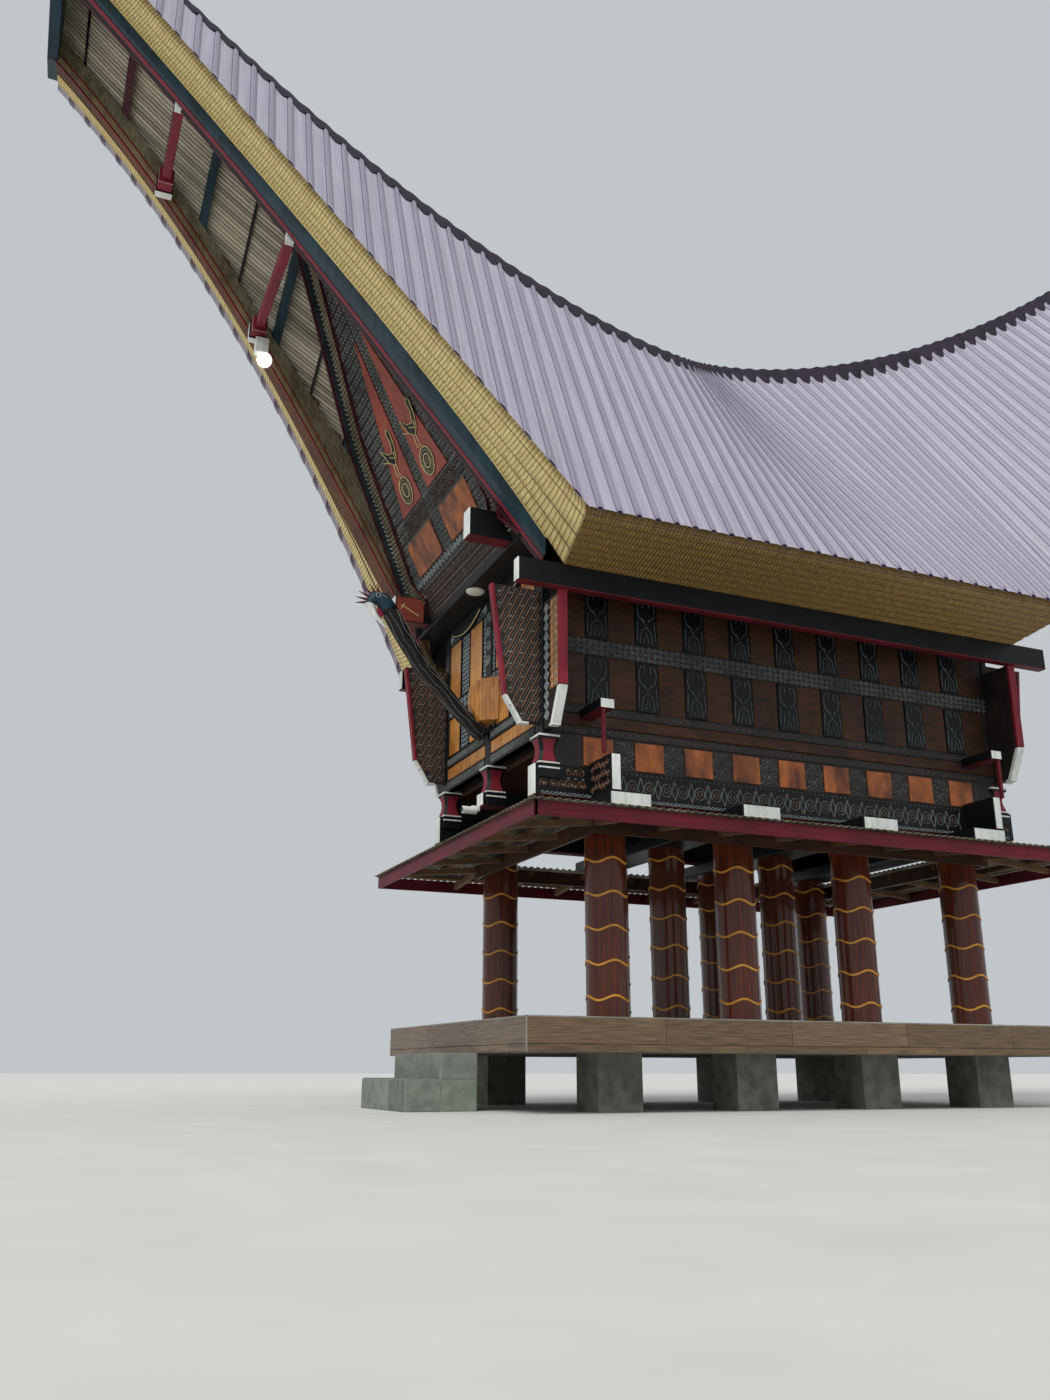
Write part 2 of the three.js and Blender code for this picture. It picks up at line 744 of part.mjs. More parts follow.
// Faceted buffalo-head block over the foot of the bird's neck.
function kabongo() {
  const back = -POST_FRONT_Y - GAP;
  const outline = [[back, KABONGO_BACK_LOW], [back, KABONGO_BACK_HIGH], ...KABONGO_FACE];
  return plateYZ(outline, -KABONGO_HALF, KABONGO_HALF);
}

const barn = new THREE.Group();

function piece(name, geometry, material) {
  const mesh = new THREE.Mesh(geometry, material);
  mesh.name = name;
  barn.add(mesh);
}

const palm = finish(COLOURS.palm, 0.3);
const dark = finish(COLOURS.blackWood);
const carved = finish(COLOURS.carvedWood);
const teal = finish(COLOURS.tealBoard);
const red = finish(COLOURS.redWood);
const sheet = finish(COLOURS.sheet, 0.45, 0.3);
const bamboo = finish(COLOURS.bamboo);

piece("platform", platform(), finish(COLOURS.tile, 0.4));
piece("front_steps", frontSteps(), finish(COLOURS.stoneTile, 0.6));

COLUMN_ROWS.forEach((y, row) => {
  piece(`column_left_${row + 1}`, column(-COLUMN_X, y), palm);
  piece(`column_right_${row + 1}`, column(COLUMN_X, y), palm);
});
piece("column_middle_1", column(0, COLUMN_ROWS[1]), palm);
piece("column_middle_2", column(0, COLUMN_ROWS[2]), palm);

COLUMN_ROWS.forEach((y, row) => {
  const half = PLANK_WIDE / 2;
  piece(`cross_plank_${row + 1}`, box(-PLANK_X, PLANK_X, y - half, y + half, COLUMN_TOP, PLANK_TOP), dark);
});

piece("base_beam_left", baseBeamBox(-1), dark);
piece("base_beam_right", baseBeamBox(1), dark);
piece("base_beam_middle", middleBeamBox(), dark);
piece("store_floor", storeFloor(), carved);

for (const [word, end] of [["front", -1], ["back", 1]]) {
  piece(`tall_cross_beam_${word}`, tallCrossBeam(end), carved);
  piece(`pent_roof_${word}`, pentSlopeFront(end), red);
  piece(`gable_wall_${word}`, gableWall(end), carved);
  piece(`gable_panel_${word}`, gablePanel(end), carved);
  piece(`prow_board_${word}`, prowBoard(end), teal);
  piece(`rake_tie_low_${word}`, rakeTie(RAKE_TIES[0], end), red);
  piece(`rake_tie_high_${word}`, rakeTie(RAKE_TIES[1], end), red);
}

for (const [word, side] of [["left", -1], ["right", 1]]) {
  const plateInner = side * PLATE_INNER_X;
  const plateOuter = side * PLATE_OUTER_X;
  const eavePlate = boxBetween(plateInner, plateOuter, -PLATE_Y, PLATE_Y, PLATE_BOTTOM, PLATE_TOP);
  piece(`pent_roof_${word}`, pentSlopeSide(side), red);
  piece(`side_wall_${word}`, sideWall(side), carved);
  piece(`eave_plate_${word}`, eavePlate, teal);
  piece(`upper_beam_${word}`, upperBeamBox(side), dark);
  piece(`roof_slope_${word}`, roofSlope(side), sheet);
  piece(`bamboo_edge_${word}`, bambooEdge(side), bamboo);
  for (const [endWord, end] of [["front", -1], ["back", 1]]) {
    piece(`bargeboard_${endWord}_${word}`, bargeboard(side, end), teal);
    piece(`fin_${endWord}_${word}`, fin(side, end), carved);
  }
}

const ridge = finish(COLOURS.ridge, 0.5, 0.3);
piece("ridge_cap_front", ridgeCap(-RIDGE_END, -CAP_JOINT_Y), ridge);
piece("ridge_cap_middle", ridgeCap(GAP - CAP_JOINT_Y, CAP_JOINT_Y - GAP), ridge);
piece("ridge_cap_back", ridgeCap(CAP_JOINT_Y, RIDGE_END), ridge);

piece("katik", katik(), dark);
piece("kabongo", kabongo(), finish(COLOURS.orangeWood));

export default barn;
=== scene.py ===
# A Torajan rice barn (alang) with a saddle-shaped roof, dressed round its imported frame.
# Metres, +Z up. The front gable looks along -Y, and +X is the long side that the camera sees.
import math
import random
from types import SimpleNamespace

import bmesh
import bpy
from mathutils import Matrix, Vector


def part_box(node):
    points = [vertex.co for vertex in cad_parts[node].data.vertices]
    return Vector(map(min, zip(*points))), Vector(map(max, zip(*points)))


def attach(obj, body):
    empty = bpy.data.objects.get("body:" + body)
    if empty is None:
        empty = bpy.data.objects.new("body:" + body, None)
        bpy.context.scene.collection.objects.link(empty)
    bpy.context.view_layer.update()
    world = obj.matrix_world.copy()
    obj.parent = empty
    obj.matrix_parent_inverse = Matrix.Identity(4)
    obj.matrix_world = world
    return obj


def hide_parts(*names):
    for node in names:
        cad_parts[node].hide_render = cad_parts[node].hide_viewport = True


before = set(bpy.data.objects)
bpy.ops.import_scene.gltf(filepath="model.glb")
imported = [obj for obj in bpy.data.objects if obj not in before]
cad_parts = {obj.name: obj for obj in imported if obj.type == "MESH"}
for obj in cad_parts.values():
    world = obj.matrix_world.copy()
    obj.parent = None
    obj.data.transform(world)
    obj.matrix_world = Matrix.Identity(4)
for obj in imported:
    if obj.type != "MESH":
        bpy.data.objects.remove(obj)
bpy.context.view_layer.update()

SIDES = (("left", -1), ("right", 1))
ENDS = (("front", -1), ("back", 1))


# Camera and light

CAMERA_PLACE = (10.187, -6.550, 0.325)
CAMERA_RIGHT = Vector((0.3939, 0.9192, 0.0017))
CAMERA_UP = Vector((0.2758, -0.1199, 0.9537))
CAMERA_LENS = 30.16
CAMERA_SENSOR = 36
CAMERA_REACH = 300
SKY_COLOUR = (0.86, 0.91, 0.95, 1)
SKY_STRENGTH = 0.62
SOFTBOX_POWER = 1.9
SOFTBOX_SPREAD = math.radians(35)
SOFTBOX_COLOUR = (1, 0.98, 0.95)
SOFTBOX_TURN = (math.radians(28), math.radians(32), 0)
FLOOR_HALF = 90


def new_object(name, data):
    made = bpy.data.objects.new(name, data)
    bpy.context.scene.collection.objects.link(made)
    return made


def set_camera():
    data = bpy.data.cameras.new("camera")
    data.lens = CAMERA_LENS
    data.sensor_width = CAMERA_SENSOR
    data.clip_end = CAMERA_REACH
    camera = new_object("camera", data)
    turn = Matrix((CAMERA_RIGHT, CAMERA_UP, CAMERA_RIGHT.cross(CAMERA_UP))).transposed()
    camera.matrix_world = Matrix.Translation(CAMERA_PLACE) @ turn.to_4x4()
    bpy.context.scene.camera = camera


def set_light():
    world = bpy.data.worlds.new("soft_studio")
    bpy.context.scene.world = world
    world.use_nodes = True
    sky = world.node_tree.nodes["Background"]
    sky.inputs["Color"].default_value = SKY_COLOUR
    sky.inputs["Strength"].default_value = SKY_STRENGTH
    lamp = bpy.data.lights.new("overhead_softbox", "SUN")
    lamp.energy = SOFTBOX_POWER
    lamp.angle = SOFTBOX_SPREAD
    lamp.color = SOFTBOX_COLOUR
    new_object("overhead_softbox", lamp).rotation_euler = SOFTBOX_TURN
    bpy.context.scene.view_settings.view_transform = "Standard"


# Roof lines: the same ridge, eave and rake curves as the frame's

RIDGE_MIDDLE = 8.2
RIDGE_RISE = 0.157
RIDGE_POWER = 1.6
RIDGE_END = 7.3
EAVE_X = 2.5
EAVE_Y = 2.697
EAVE_Z = 4.673
RAKE_END_X = 1.12
RAKE_END_Y = 7.245
RAKE_RISE = 1.605
RAKE_FLATTENING = 0.0736
RIB_LEAN = 0.69
RIB_LEAN_LOSS = 0.1045
RIB_LEAN_START = 0.15
RIB_PITCH = 0.179
RIB_BASE = 0.06
RIB_TOP = 0.028
RIB_HEIGHT = 0.024
ROOF_DEPTH = 0.62
BAND_INSET = 0.1
BAND_INNER = 0.12
BAND_WIDE = 0.43
BAND_FLARE = 0.37
BAND_BEND = 5.9
BAND_DROP = 0.14
BAND_DROP_LOSS = 0.06
BAND_DROP_FROM = 4
SOFFIT_OVER_BAND = 0.16
BOARD_THICK = 0.1
BOARD_DROP = 0.17
BOARD_LOW_END = 2.85


def ridge_height(y):
    return RIDGE_MIDDLE + RIDGE_RISE * abs(y) ** RIDGE_POWER


def rib_lean(y):
    """How far a rib's foot lies nearer the prow than its head on the ridge."""
    return (RIB_LEAN - RIB_LEAN_LOSS * abs(y)) * (1 - math.exp(-abs(y) / RIB_LEAN_START))


def rib(ridge_y):
    """The roof along one rib, by the rib's place on the ridge. x and z are its foot on the eave or rake,
    band_x and band_z the inner edge of the bamboo, and face how far the board below it stands out there."""
    foot = abs(ridge_y) + rib_lean(ridge_y)
    x, z = EAVE_X, EAVE_Z
    if foot > EAVE_Y:
        along = foot - EAVE_Y
        left = (RAKE_END_Y - foot) / (RAKE_END_Y - EAVE_Y)
        x = RAKE_END_X + (EAVE_X - RAKE_END_X) * left * left
        z = EAVE_Z + RAKE_RISE * along - RAKE_FLATTENING * along * along
    bend = max(0, BAND_BEND - max(foot, EAVE_Y)) / (BAND_BEND - EAVE_Y)
    band = BAND_WIDE + BAND_FLARE * bend ** 2
    top = ridge_height(ridge_y)
    slope = (top - z) / x
    band_z = z - BAND_DROP + BAND_DROP_LOSS * max(0, foot - BAND_DROP_FROM)
    return SimpleNamespace(
        ridge_y=ridge_y, foot=foot, x=x, z=z, top=top, slope=slope, band_x=x - band, band_z=band_z,
        soffit=max(band_z + SOFFIT_OVER_BAND, z + band * slope - ROOF_DEPTH),
        face=BAND_FLARE * (bend ** 2 - bend ** 4))


def on_rib(r, x, z, side=1):
    """A point at a distance x from the middle and a height z on a rib's upright plane."""
    y = abs(r.ridge_y) + rib_lean(r.ridge_y) * x / r.x
    return Vector((side * x, math.copysign(y, r.ridge_y), z))


def ridge_place(foot):
    """Ridge place of the rib whose foot is at a distance along the eave or rake."""
    low, high = 0.0, RIDGE_END
    for _ in range(40):
        middle = (low + high) / 2
        if middle + rib_lean(middle) < foot:
            low = middle
        else:
            high = middle
    return (low + high) / 2


BOARD_START = ridge_place(BOARD_LOW_END)
LAST_FOOT = RIDGE_END + rib_lean(RIDGE_END)


def span(low, high, step):
    """Places from low to high, as near to a step apart as whole steps allow."""
    count = max(1, round((high - low) / step))
    return [low + (high - low) * i / count for i in range(count + 1)]


# Materials: a pattern's size is that of one mark in millimetres, along x, y and z

def linear(colour):
    """Turns an sRGB hex colour into the linear values that the shader needs."""
    parts = [int(colour[i:i + 2], 16) / 255 for i in (0, 2, 4)]
    return (*[p / 12.92 if p <= 0.04045 else ((p + 0.055) / 1.055) ** 2.4 for p in parts], 1)


def add(tree, kind, inputs=None, out=None, **settings):
    """Adds a node with its settings, sets or links its inputs, and gives its output."""
    node = tree.nodes.new("ShaderNode" + kind)
    for key, value in settings.items():
        setattr(node, key, value)
    for key, value in (inputs or {}).items():
        if isinstance(value, bpy.types.NodeSocket):
            tree.links.new(value, node.inputs[key])
        else:
            node.inputs[key].default_value = value
    return node.outputs[out] if out else next((s for s in node.outputs if s.enabled), None)


def new_material(name):
    material = bpy.data.materials.new(name)
    material.use_nodes = True
    material.node_tree.nodes.clear()
    return material, material.node_tree


def surface(tree, colour, roughness, height=None, depth=0.002, **sockets):
    """Ends a material with its shader, and with relief where a height is given."""
    inputs = {"Base Color": colour, "Roughness": roughness}
    if height is not None:
        inputs["Normal"] = add(tree, "Bump", {"Strength": 1.0, "Distance": depth, "Height": height})
    inputs.update({key.replace("_", " "): value for key, value in sockets.items()})
    shader = add(tree, "BsdfPrincipled", inputs)
    add(tree, "OutputMaterial", {"Surface": shader})


def counted(tree, mark):
    """Places on the object, counted in marks."""
    return add(tree, "Mapping", {"Vector": add(tree, "TexCoord", out="Object"),
                                 "Scale": [1000 / size for size in mark]})


def even(size):
    return (size, size, size)


def grainy(name, light, dark, roughness, grain, depth=0.0015, **sockets):
    """Two tones that follow a grain, with broad cloudy wear. The grain runs along its mark's longest size."""
    material, tree = new_material(name)
    fine = add(tree, "TexNoise", {"Vector": counted(tree, grain), "Scale": 1, "Detail": 6})
    cloud = add(tree, "TexNoise", {"Vector": counted(tree, even(435)), "Scale": 1, "Detail": 3})
    both = add(tree, "Math", {0: fine, 1: cloud}, operation="ADD")
    share = add(tree, "MapRange", {"Value": both, "From Min": 0.75, "From Max": 1.25})
    colour = add(tree, "Mix", {0: share, 6: linear(dark), 7: linear(light)}, data_type="RGBA")
    rough = add(tree, "MapRange", {"Value": cloud, "To Min": roughness - 0.08, "To Max": roughness + 0.12})
    surface(tree, colour, rough, fine, depth, **sockets)
    return material


# Gloss paint brushed on planed softwood: satin by now, with the grain faintly telegraphing through. The
# wood's own grain of 2 to 5 mm would not show from the camera, so its marks are about ten times as wide.
# The blue-black is drawn darker than the paint itself: painted shade, for the shade under the roof where it
# is mostly seen.
BLACK = grainy("blue_black_gloss_paint_with_painted_shade", "0b1115", "05080a", 0.45, (33.3, 33.3, 250),
               Specular_IOR_Level=0.3)
TEAL = grainy("blue_green_gloss_paint_on_board", "1d3d4c", "10262f", 0.45, (50, 50, 333),
              Specular_IOR_Level=0.3)
RED = grainy("dark_red_gloss_paint_on_wood", "8c2236", "6a1826", 0.5, (40, 40, 250),
             Specular_IOR_Level=0.3)
DEEP_RED = grainy("deep_red_gloss_paint_on_board", "6c1828", "4c111c", 0.5, (400, 400, 25),
                  Specular_IOR_Level=0.25)
MAROON = grainy("maroon_paint_on_board", "55202c", "37141c", 0.5, (40, 40, 250), Specular_IOR_Level=0.3)
WHITE = grainy("white_gloss_paint_on_wood", "f0f2ee", "c9cfca", 0.45, (40, 40, 167), 0.0006)
BRICK = grainy("brick_red_paint_on_board", "a24a39", "80372b", 0.55, (40, 40, 200))
# Bare hardwood under clear varnish: brown planks with lying grain, and warm orange meranti panels with long
# dark pores upright, some of them blotched by rain.
# The brown plank is drawn darker than the wood: painted shade, for the roof's shade over the side walls,
# where its plain boards also stand for orange panels in shade.
BROWN = grainy("brown_varnished_plank_with_painted_shade", "4a2a19", "26160e", 0.5, (35.7, 200, 35.7), Specular_IOR_Level=0.3)
ORANGE = grainy("varnished_meranti_panel", "d8984e", "955a28", 0.42, (26.3, 26.3, 200), 0.001)
# On the side walls the darker blotched panel also serves as painted shade.
BLOTCHED = grainy("weathered_meranti_panel", "b4642c", "522712", 0.5, (111, 111, 250), 0.001)
# Timber as sawn, and battens worn bare: dull, with open grain.
RAW_TIMBER = grainy("sawn_timber", "7a5a3c", "4d3824", 0.75, (41.7, 167, 41.7))
TAN = grainy("worn_tan_batten", "a08a66", "6c5a41", 0.7, (50, 50, 250))
# Chiselled wood stained black, or painted blue-grey: the tool marks stand upright.
CARVED = grainy("black_stained_carved_wood", "2c211d", "14100f", 0.6, (45.5, 45.5, 111), 0.002)
SLATE = grainy("blue_grey_paint_on_carving", "2d3943", "192127", 0.55, (45.5, 45.5, 111), 0.002)
# Earth paints in the carved lines: chalky kaolin, clean or faded, and red ochre.
CHALK = grainy("kaolin_line_paint", "a9b4b4", "6b7779", 0.7, even(25), 0.0006)
FADED = grainy("faded_kaolin_line_paint", "6f7875", "3c4342", 0.7, even(25), 0.0006)
RUST = grainy("red_ochre_line_paint", "73482f", "43291c", 0.65, even(25), 0.0006)
YELLOW = grainy("ochre_paint_line", "dd9c2f", "b87a1d", 0.4, even(83.3), 0.001)
# Split bamboo skins: straw yellow and satin while fresh, grey where they have stood in the dust.
BAMBOO_LINE = grainy("pale_bamboo_edge", "ead79a", "d0b978", 0.5, even(50), 0.001)
SPLIT_STRIP = grainy("split_bamboo_strip", "9c9479", "635c45", 0.55, (33.3, 33.3, 125), 0.001)
# Cast concrete and cement grout: matt, blotched grey with grit of a few millimetres, drawn coarser.
CONCRETE = grainy("cast_concrete", "7b7970", "57554d", 0.9, even(111), 0.004)
GROUT = grainy("cement_grout", "a7aca4", "868b84", 0.9, even(33.3))
# Steel sheet: a dark coating on the ridge, bare mauve cut edges, and dull zinc with dirt under the pent roof.
RIDGE_STEEL = grainy("dark_maroon_coated_steel", "2b1f30", "170f19", 0.55, even(167), 0.001,
                     Specular_IOR_Level=0.2)
SHEET_END = grainy("mauve_steel_edge", "a39dae", "89829a", 0.5, even(167), 0.001)
CORRUGATED = grainy("weathered_corrugated_steel", "8c8779", "57523f", 0.6, even(200), 0.001, Metallic=0.3)
TRIM = grainy("satin_aluminium_tile_trim", "a9a59a", "8b877c", 0.4, even(111), 0.0003, Metallic=0.6)
# Opal glass: milky, smooth, and lit from within on the lamp under the prow.
LAMP_GLASS = grainy("opal_lamp_glass", "f4f2ea", "e2ded2", 0.25, even(250), 0.0002)
LIT_GLASS = grainy("lit_opal_glass", "fffdf4", "fff9ea", 0.3, even(250), 0.0002,
                   Emission_Color=(1, 0.97, 0.9, 1), Emission_Strength=1.5)
STUDIO_FLOOR = grainy("pale_studio_floor", "d9d8d3", "d3d2cc", 0.8, even(500), 0.0005)


PINSTRIPES = 24


def roof_sheet_finish():
    """Roll-formed steel, colour-coated mauve and chalked by sun and rain: pale flats with faint rolled lines,
    and painted shade along each rib: a darker band for its shaded flanks and a darker line at its feet."""
    material, tree = new_material("chalked_mauve_coated_steel")
    place = add(tree, "UVMap", uv_map="along")
    foot = add(tree, "SeparateXYZ", {"Vector": place}, out="X")
    steps = add(tree, "Math", {0: foot, 1: 1 / RIB_PITCH}, operation="MULTIPLY")
    from_flat = add(tree, "Math", {0: steps, 1: 0.5}, operation="PINGPONG")
    # Painted shade: each rib is drawn darker over its whole width, with a darker line at both its feet.
    band = add(tree, "MapRange", {"Value": from_flat, "From Min": 0.33, "From Max": 0.37, "To Max": 0.85})
    rib_foot_shade = add(tree, "Math", {0: from_flat, 1: 0.335, 2: 0.018}, operation="COMPARE")
    lines = add(tree, "Math", {0: steps, 1: 1 / PINSTRIPES}, operation="PINGPONG")
    pinstripe = add(tree, "MapRange", {"Value": lines, "From Max": 1 / PINSTRIPES})
    streak = add(tree, "TexNoise", {"Vector": add(tree, "Mapping", {
        "Vector": place, "Scale": (26, 0.3, 1)}), "Scale": 1, "Detail": 5})
    cloud = add(tree, "TexNoise", {"Vector": counted(tree, even(909)), "Scale": 1, "Detail": 4})
    spots = add(tree, "TexNoise", {"Vector": counted(tree, even(16.7)), "Scale": 1, "Detail": 2})
    share = add(tree, "MapRange", {"Value": streak, "From Min": 0.35, "From Max": 0.65})
    worn = add(tree, "MapRange", {"Value": cloud, "From Min": 0.5, "From Max": 0.75, "To Max": 0.5})
    dirt = add(tree, "MapRange", {"Value": spots, "From Min": 0.66, "From Max": 0.74, "To Max": 0.6})
    colour = add(tree, "Mix", {0: share, 6: linear("aba5b5"), 7: linear("bfbacb")}, data_type="RGBA")
    for amount, over in ((worn, "c3c2ce"), (dirt, "8d8496"), (band, "8f899b"), (rib_foot_shade, "7d7589")):
        colour = add(tree, "Mix", {0: amount, 6: colour, 7: linear(over)}, data_type="RGBA")
    surface(tree, colour, 0.45, pinstripe, 0.003, Metallic=0.1)
    return material


def bamboo_finish(name, light, dark, gap, row_shadow, pitch, row_gap):
    """Split bamboo laid side by side: the skin is straw yellow and satin, and the gaps between sticks and
    between rows are painted dark as shade and shadow. The map's second value counts rows."""
    material, tree = new_material(name)
    place = add(tree, "UVMap", uv_map="along")
    along = add(tree, "SeparateXYZ", {"Vector": place}, out="X")
    row = add(tree, "SeparateXYZ", {"Vector": place}, out="Y")
    steps = add(tree, "Math", {0: along, 1: 1 / pitch}, operation="MULTIPLY")
    from_gap = add(tree, "Math", {0: steps, 1: 0.5}, operation="PINGPONG")
    from_row = add(tree, "Math", {0: row, 1: 0.5}, operation="PINGPONG")
    on_stick = add(tree, "MapRange", {"Value": from_gap, "From Min": 0.03, "From Max": 0.2})
    on_row = add(tree, "MapRange", {"Value": from_row, "From Min": row_gap * 0.4, "From Max": row_gap})
    stick = add(tree, "TexNoise", {"Vector": add(tree, "Mapping", {
        "Vector": place, "Scale": (0.9 / pitch, 1.5, 1)}), "Scale": 1, "Detail": 4})
    share = add(tree, "MapRange", {"Value": stick, "From Min": 0.3, "From Max": 0.65})
    skin = add(tree, "Mix", {0: share, 6: linear(dark), 7: linear(light)}, data_type="RGBA")
    # Painted shade in the gaps between sticks, and a painted shadow line under each row.
    sticks = add(tree, "Mix", {0: on_stick, 6: linear(gap), 7: skin}, data_type="RGBA")
    colour = add(tree, "Mix", {0: on_row, 6: linear(row_shadow), 7: sticks}, data_type="RGBA")
    surface(tree, colour, 0.5, stick, 0.001)
    return material


def slat_finish():
    """Old split bamboo slats under the roof: grey-brown, each slat its own shade, matt with dust. The map's
    second value counts slats."""
    material, tree = new_material("dusty_bamboo_slats")
    place = add(tree, "UVMap", uv_map="along")
    number = add(tree, "VectorMath", {0: add(tree, "Mapping", {"Vector": place, "Scale": (0, 1, 1)})},
                 operation="FLOOR")
    shade = add(tree, "TexWhiteNoise", {"Vector": number}, noise_dimensions="3D")
    streak = add(tree, "TexNoise", {"Vector": add(tree, "Mapping", {
        "Vector": place, "Scale": (1.2, 9, 1)}), "Scale": 1, "Detail": 4})
    both = add(tree, "Math", {0: shade, 1: streak}, operation="ADD")
    share = add(tree, "MapRange", {"Value": both, "From Min": 0.4, "From Max": 1.4})
    colour = add(tree, "Mix", {0: share, 6: linear("968f7c"), 7: linear("d3ccb8")}, data_type="RGBA")
    surface(tree, colour, 0.7, streak, 0.001)
    return material


def palm_finish():
    """Palm trunk under thick varnish: deep red-brown with fine dark fibres upright, and very glossy."""
    material, tree = new_material("varnished_palm_trunk")
    fibre = add(tree, "TexNoise", {"Vector": counted(tree, (18.2, 18.2, 455)), "Scale": 1, "Detail": 6})
    cloud = add(tree, "TexNoise", {"Vector": counted(tree, (333, 333, 556)), "Scale": 1, "Detail": 2})
    share = add(tree, "MapRange", {"Value": fibre, "From Min": 0.35, "From Max": 0.68})
    wood = add(tree, "Mix", {0: share, 6: linear("2c0f07"), 7: linear("74300f")}, data_type="RGBA")
    colour = add(tree, "Mix", {0: cloud, 6: wood, 7: linear("4e1d0b")}, data_type="RGBA")
    surface(tree, colour, 0.3, fibre, 0.0015, Coat_Weight=0.45, Coat_Roughness=0.06, Specular_IOR_Level=0.25)
    return material


def tiled(name, light, dark, vein, roughness, depth):
    """Fired or split tile: each tile takes its own shade from the mesh's tint."""
    material, tree = new_material(name)
    grain = add(tree, "TexNoise", {"Vector": counted(tree, vein), "Scale": 1, "Detail": 7})
    cloud = add(tree, "TexNoise", {"Vector": counted(tree, even(588)), "Scale": 1, "Detail": 2})
    tint = add(tree, "VertexColor", layer_name="tint")
    share = add(tree, "MapRange", {"Value": grain, "From Min": 0.33, "From Max": 0.67})
    fired = add(tree, "Mix", {0: share, 6: linear(dark), 7: linear(light)}, data_type="RGBA")
    colour = add(tree, "Mix", {0: 0.55, 6: fired, 7: tint}, data_type="RGBA", blend_type="MULTIPLY")
    rough = add(tree, "MapRange", {"Value": cloud, "To Min": roughness - 0.1, "To Max": roughness + 0.15})
    surface(tree, colour, rough, grain, depth)
    return material


RAKE_STICK = 0.0235
EAVE_STICK = 0.034
ROOF_SHEET = roof_sheet_finish()
BAMBOO = bamboo_finish("split_bamboo_ends", "efda98", "d4b978", "86683a", "3f3018", RAKE_STICK, 0.09)
# The eave's bamboo is drawn browner and darker than the rake's: painted shade, for the eave band that faces
# down into shade.
SHADED_EAVE_BAMBOO = bamboo_finish("eave_bamboo_ends_in_painted_shade", "9a7b44", "75592c", "4a3619", "241a0b", EAVE_STICK, 0.13)
SLATS = slat_finish()
PALM = palm_finish()
# Glazed tile printed as planks: long brown grain along the tile, satin glaze.
PLANK_TILE = tiled("wood_print_glazed_tile", "7d664c", "503e2d", (250, 250, 9.1), 0.35, 0.0004)
# Grey-green sandstone tiles with a split face.
STONE_TILE = tiled("split_sandstone_tile", "7d857c", "686f67", even(100), 0.75, 0.003)


# Mesh work

def new_mesh(name, bm, materials=()):
    mesh = bpy.data.meshes.new(name)
    bm.to_mesh(mesh)
    bm.free()
    for material in materials:
        mesh.materials.append(material)
    return mesh


def absorb(bm, small):
    """Adds a small mesh to a bigger one."""
    mesh = new_mesh("small", small)
    bm.from_mesh(mesh)
    bpy.data.meshes.remove(mesh)


def soften(bm, bevel):
    if bevel:
        bmesh.ops.bevel(bm, geom=list(bm.edges), offset=bevel, segments=1, profile=0.5,
                        affect="EDGES", material=-1)


def corners(axis, along, across, level):
    """Low and high corner of a box, from its reach along one level axis, across it and upwards."""
    low, high = (Vector((0, 0, z)) for z in level)
    low[axis], high[axis] = sorted(along)
    low[1 - axis], high[1 - axis] = sorted(across)
    return low, high


def block(bm, low, high, bevel=0.004, paint=None, shade=None):
    """A box between two corners with softened edges. paint is a material number, or gives one for a face,
    and shade is a colour for the whole box."""
    low, high = Vector(low), Vector(high)
    small = bmesh.new()
    bmesh.ops.create_cube(small, size=1, matrix=Matrix.Translation((low + high) / 2)
                          @ Matrix.Diagonal((*(high - low), 1)))
    for face in small.faces:
        face.normal_update()
        face.material_index = paint(face) if callable(paint) else paint or 0
    soften(small, bevel)
    if shade:
        layer = small.loops.layers.float_color.new("tint")
        for face in small.faces:
            for loop in face.loops:
                loop[layer] = shade
    absorb(bm, small)


def grid(bm, rows, closed=False, index=0, sizes=None):
    """A sheet shaped through rows of points. Closed rows are rings, and their two ends are filled.
    sizes gives each point's place along and across in metres for the pattern map."""
    small = bmesh.new()
    long, wide = len(rows) - 1, len(rows[0]) - (0 if closed else 1)
    made = bmesh.ops.create_grid(small, x_segments=long, y_segments=wide, size=1)
    layer = small.loops.layers.uv.new("along")
    cells = {v: (round((v.co.x + 1) / 2 * long), round((v.co.y + 1) / 2 * wide)) for v in made["verts"]}
    for face in small.faces:
        face.material_index = index
        for loop in face.loops if sizes else ():
            loop[layer].uv = sizes(*cells[loop.vert])
    for v, (i, j) in cells.items():
        v.co = rows[i][j % len(rows[0])]
    if closed:
        bmesh.ops.remove_doubles(small, verts=small.verts, dist=1e-6)
        ends = [e for e in small.edges if e.is_boundary]
        for face in bmesh.ops.holes_fill(small, edges=ends)["faces"]:
            face.material_index = index
    absorb(bm, small)


def plate(bm, outline, push, index=0, bevel=0):
    """A flat outline of points pushed out by a vector."""
    small = bmesh.new()
    face = small.faces.new([small.verts.new(p) for p in outline])
    made = bmesh.ops.extrude_face_region(small, geom=[face])
    verts = [g for g in made["geom"] if isinstance(g, bmesh.types.BMVert)]
    bmesh.ops.translate(small, verts=verts, vec=push)
    for face in small.faces:
        face.material_index = index
    bmesh.ops.recalc_face_normals(small, faces=small.faces)
    soften(small, bevel)
    absorb(bm, small)


def thicken_sheet(bm, thick):
    """Turns an open sheet's faces up and gives it its thickness."""
    bmesh.ops.recalc_face_normals(bm, faces=bm.faces)
    if sum(f.normal.z for f in bm.faces) < 0:
        bmesh.ops.reverse_faces(bm, faces=bm.faces)
    bmesh.ops.solidify(bm, geom=bm.faces, thickness=thick)


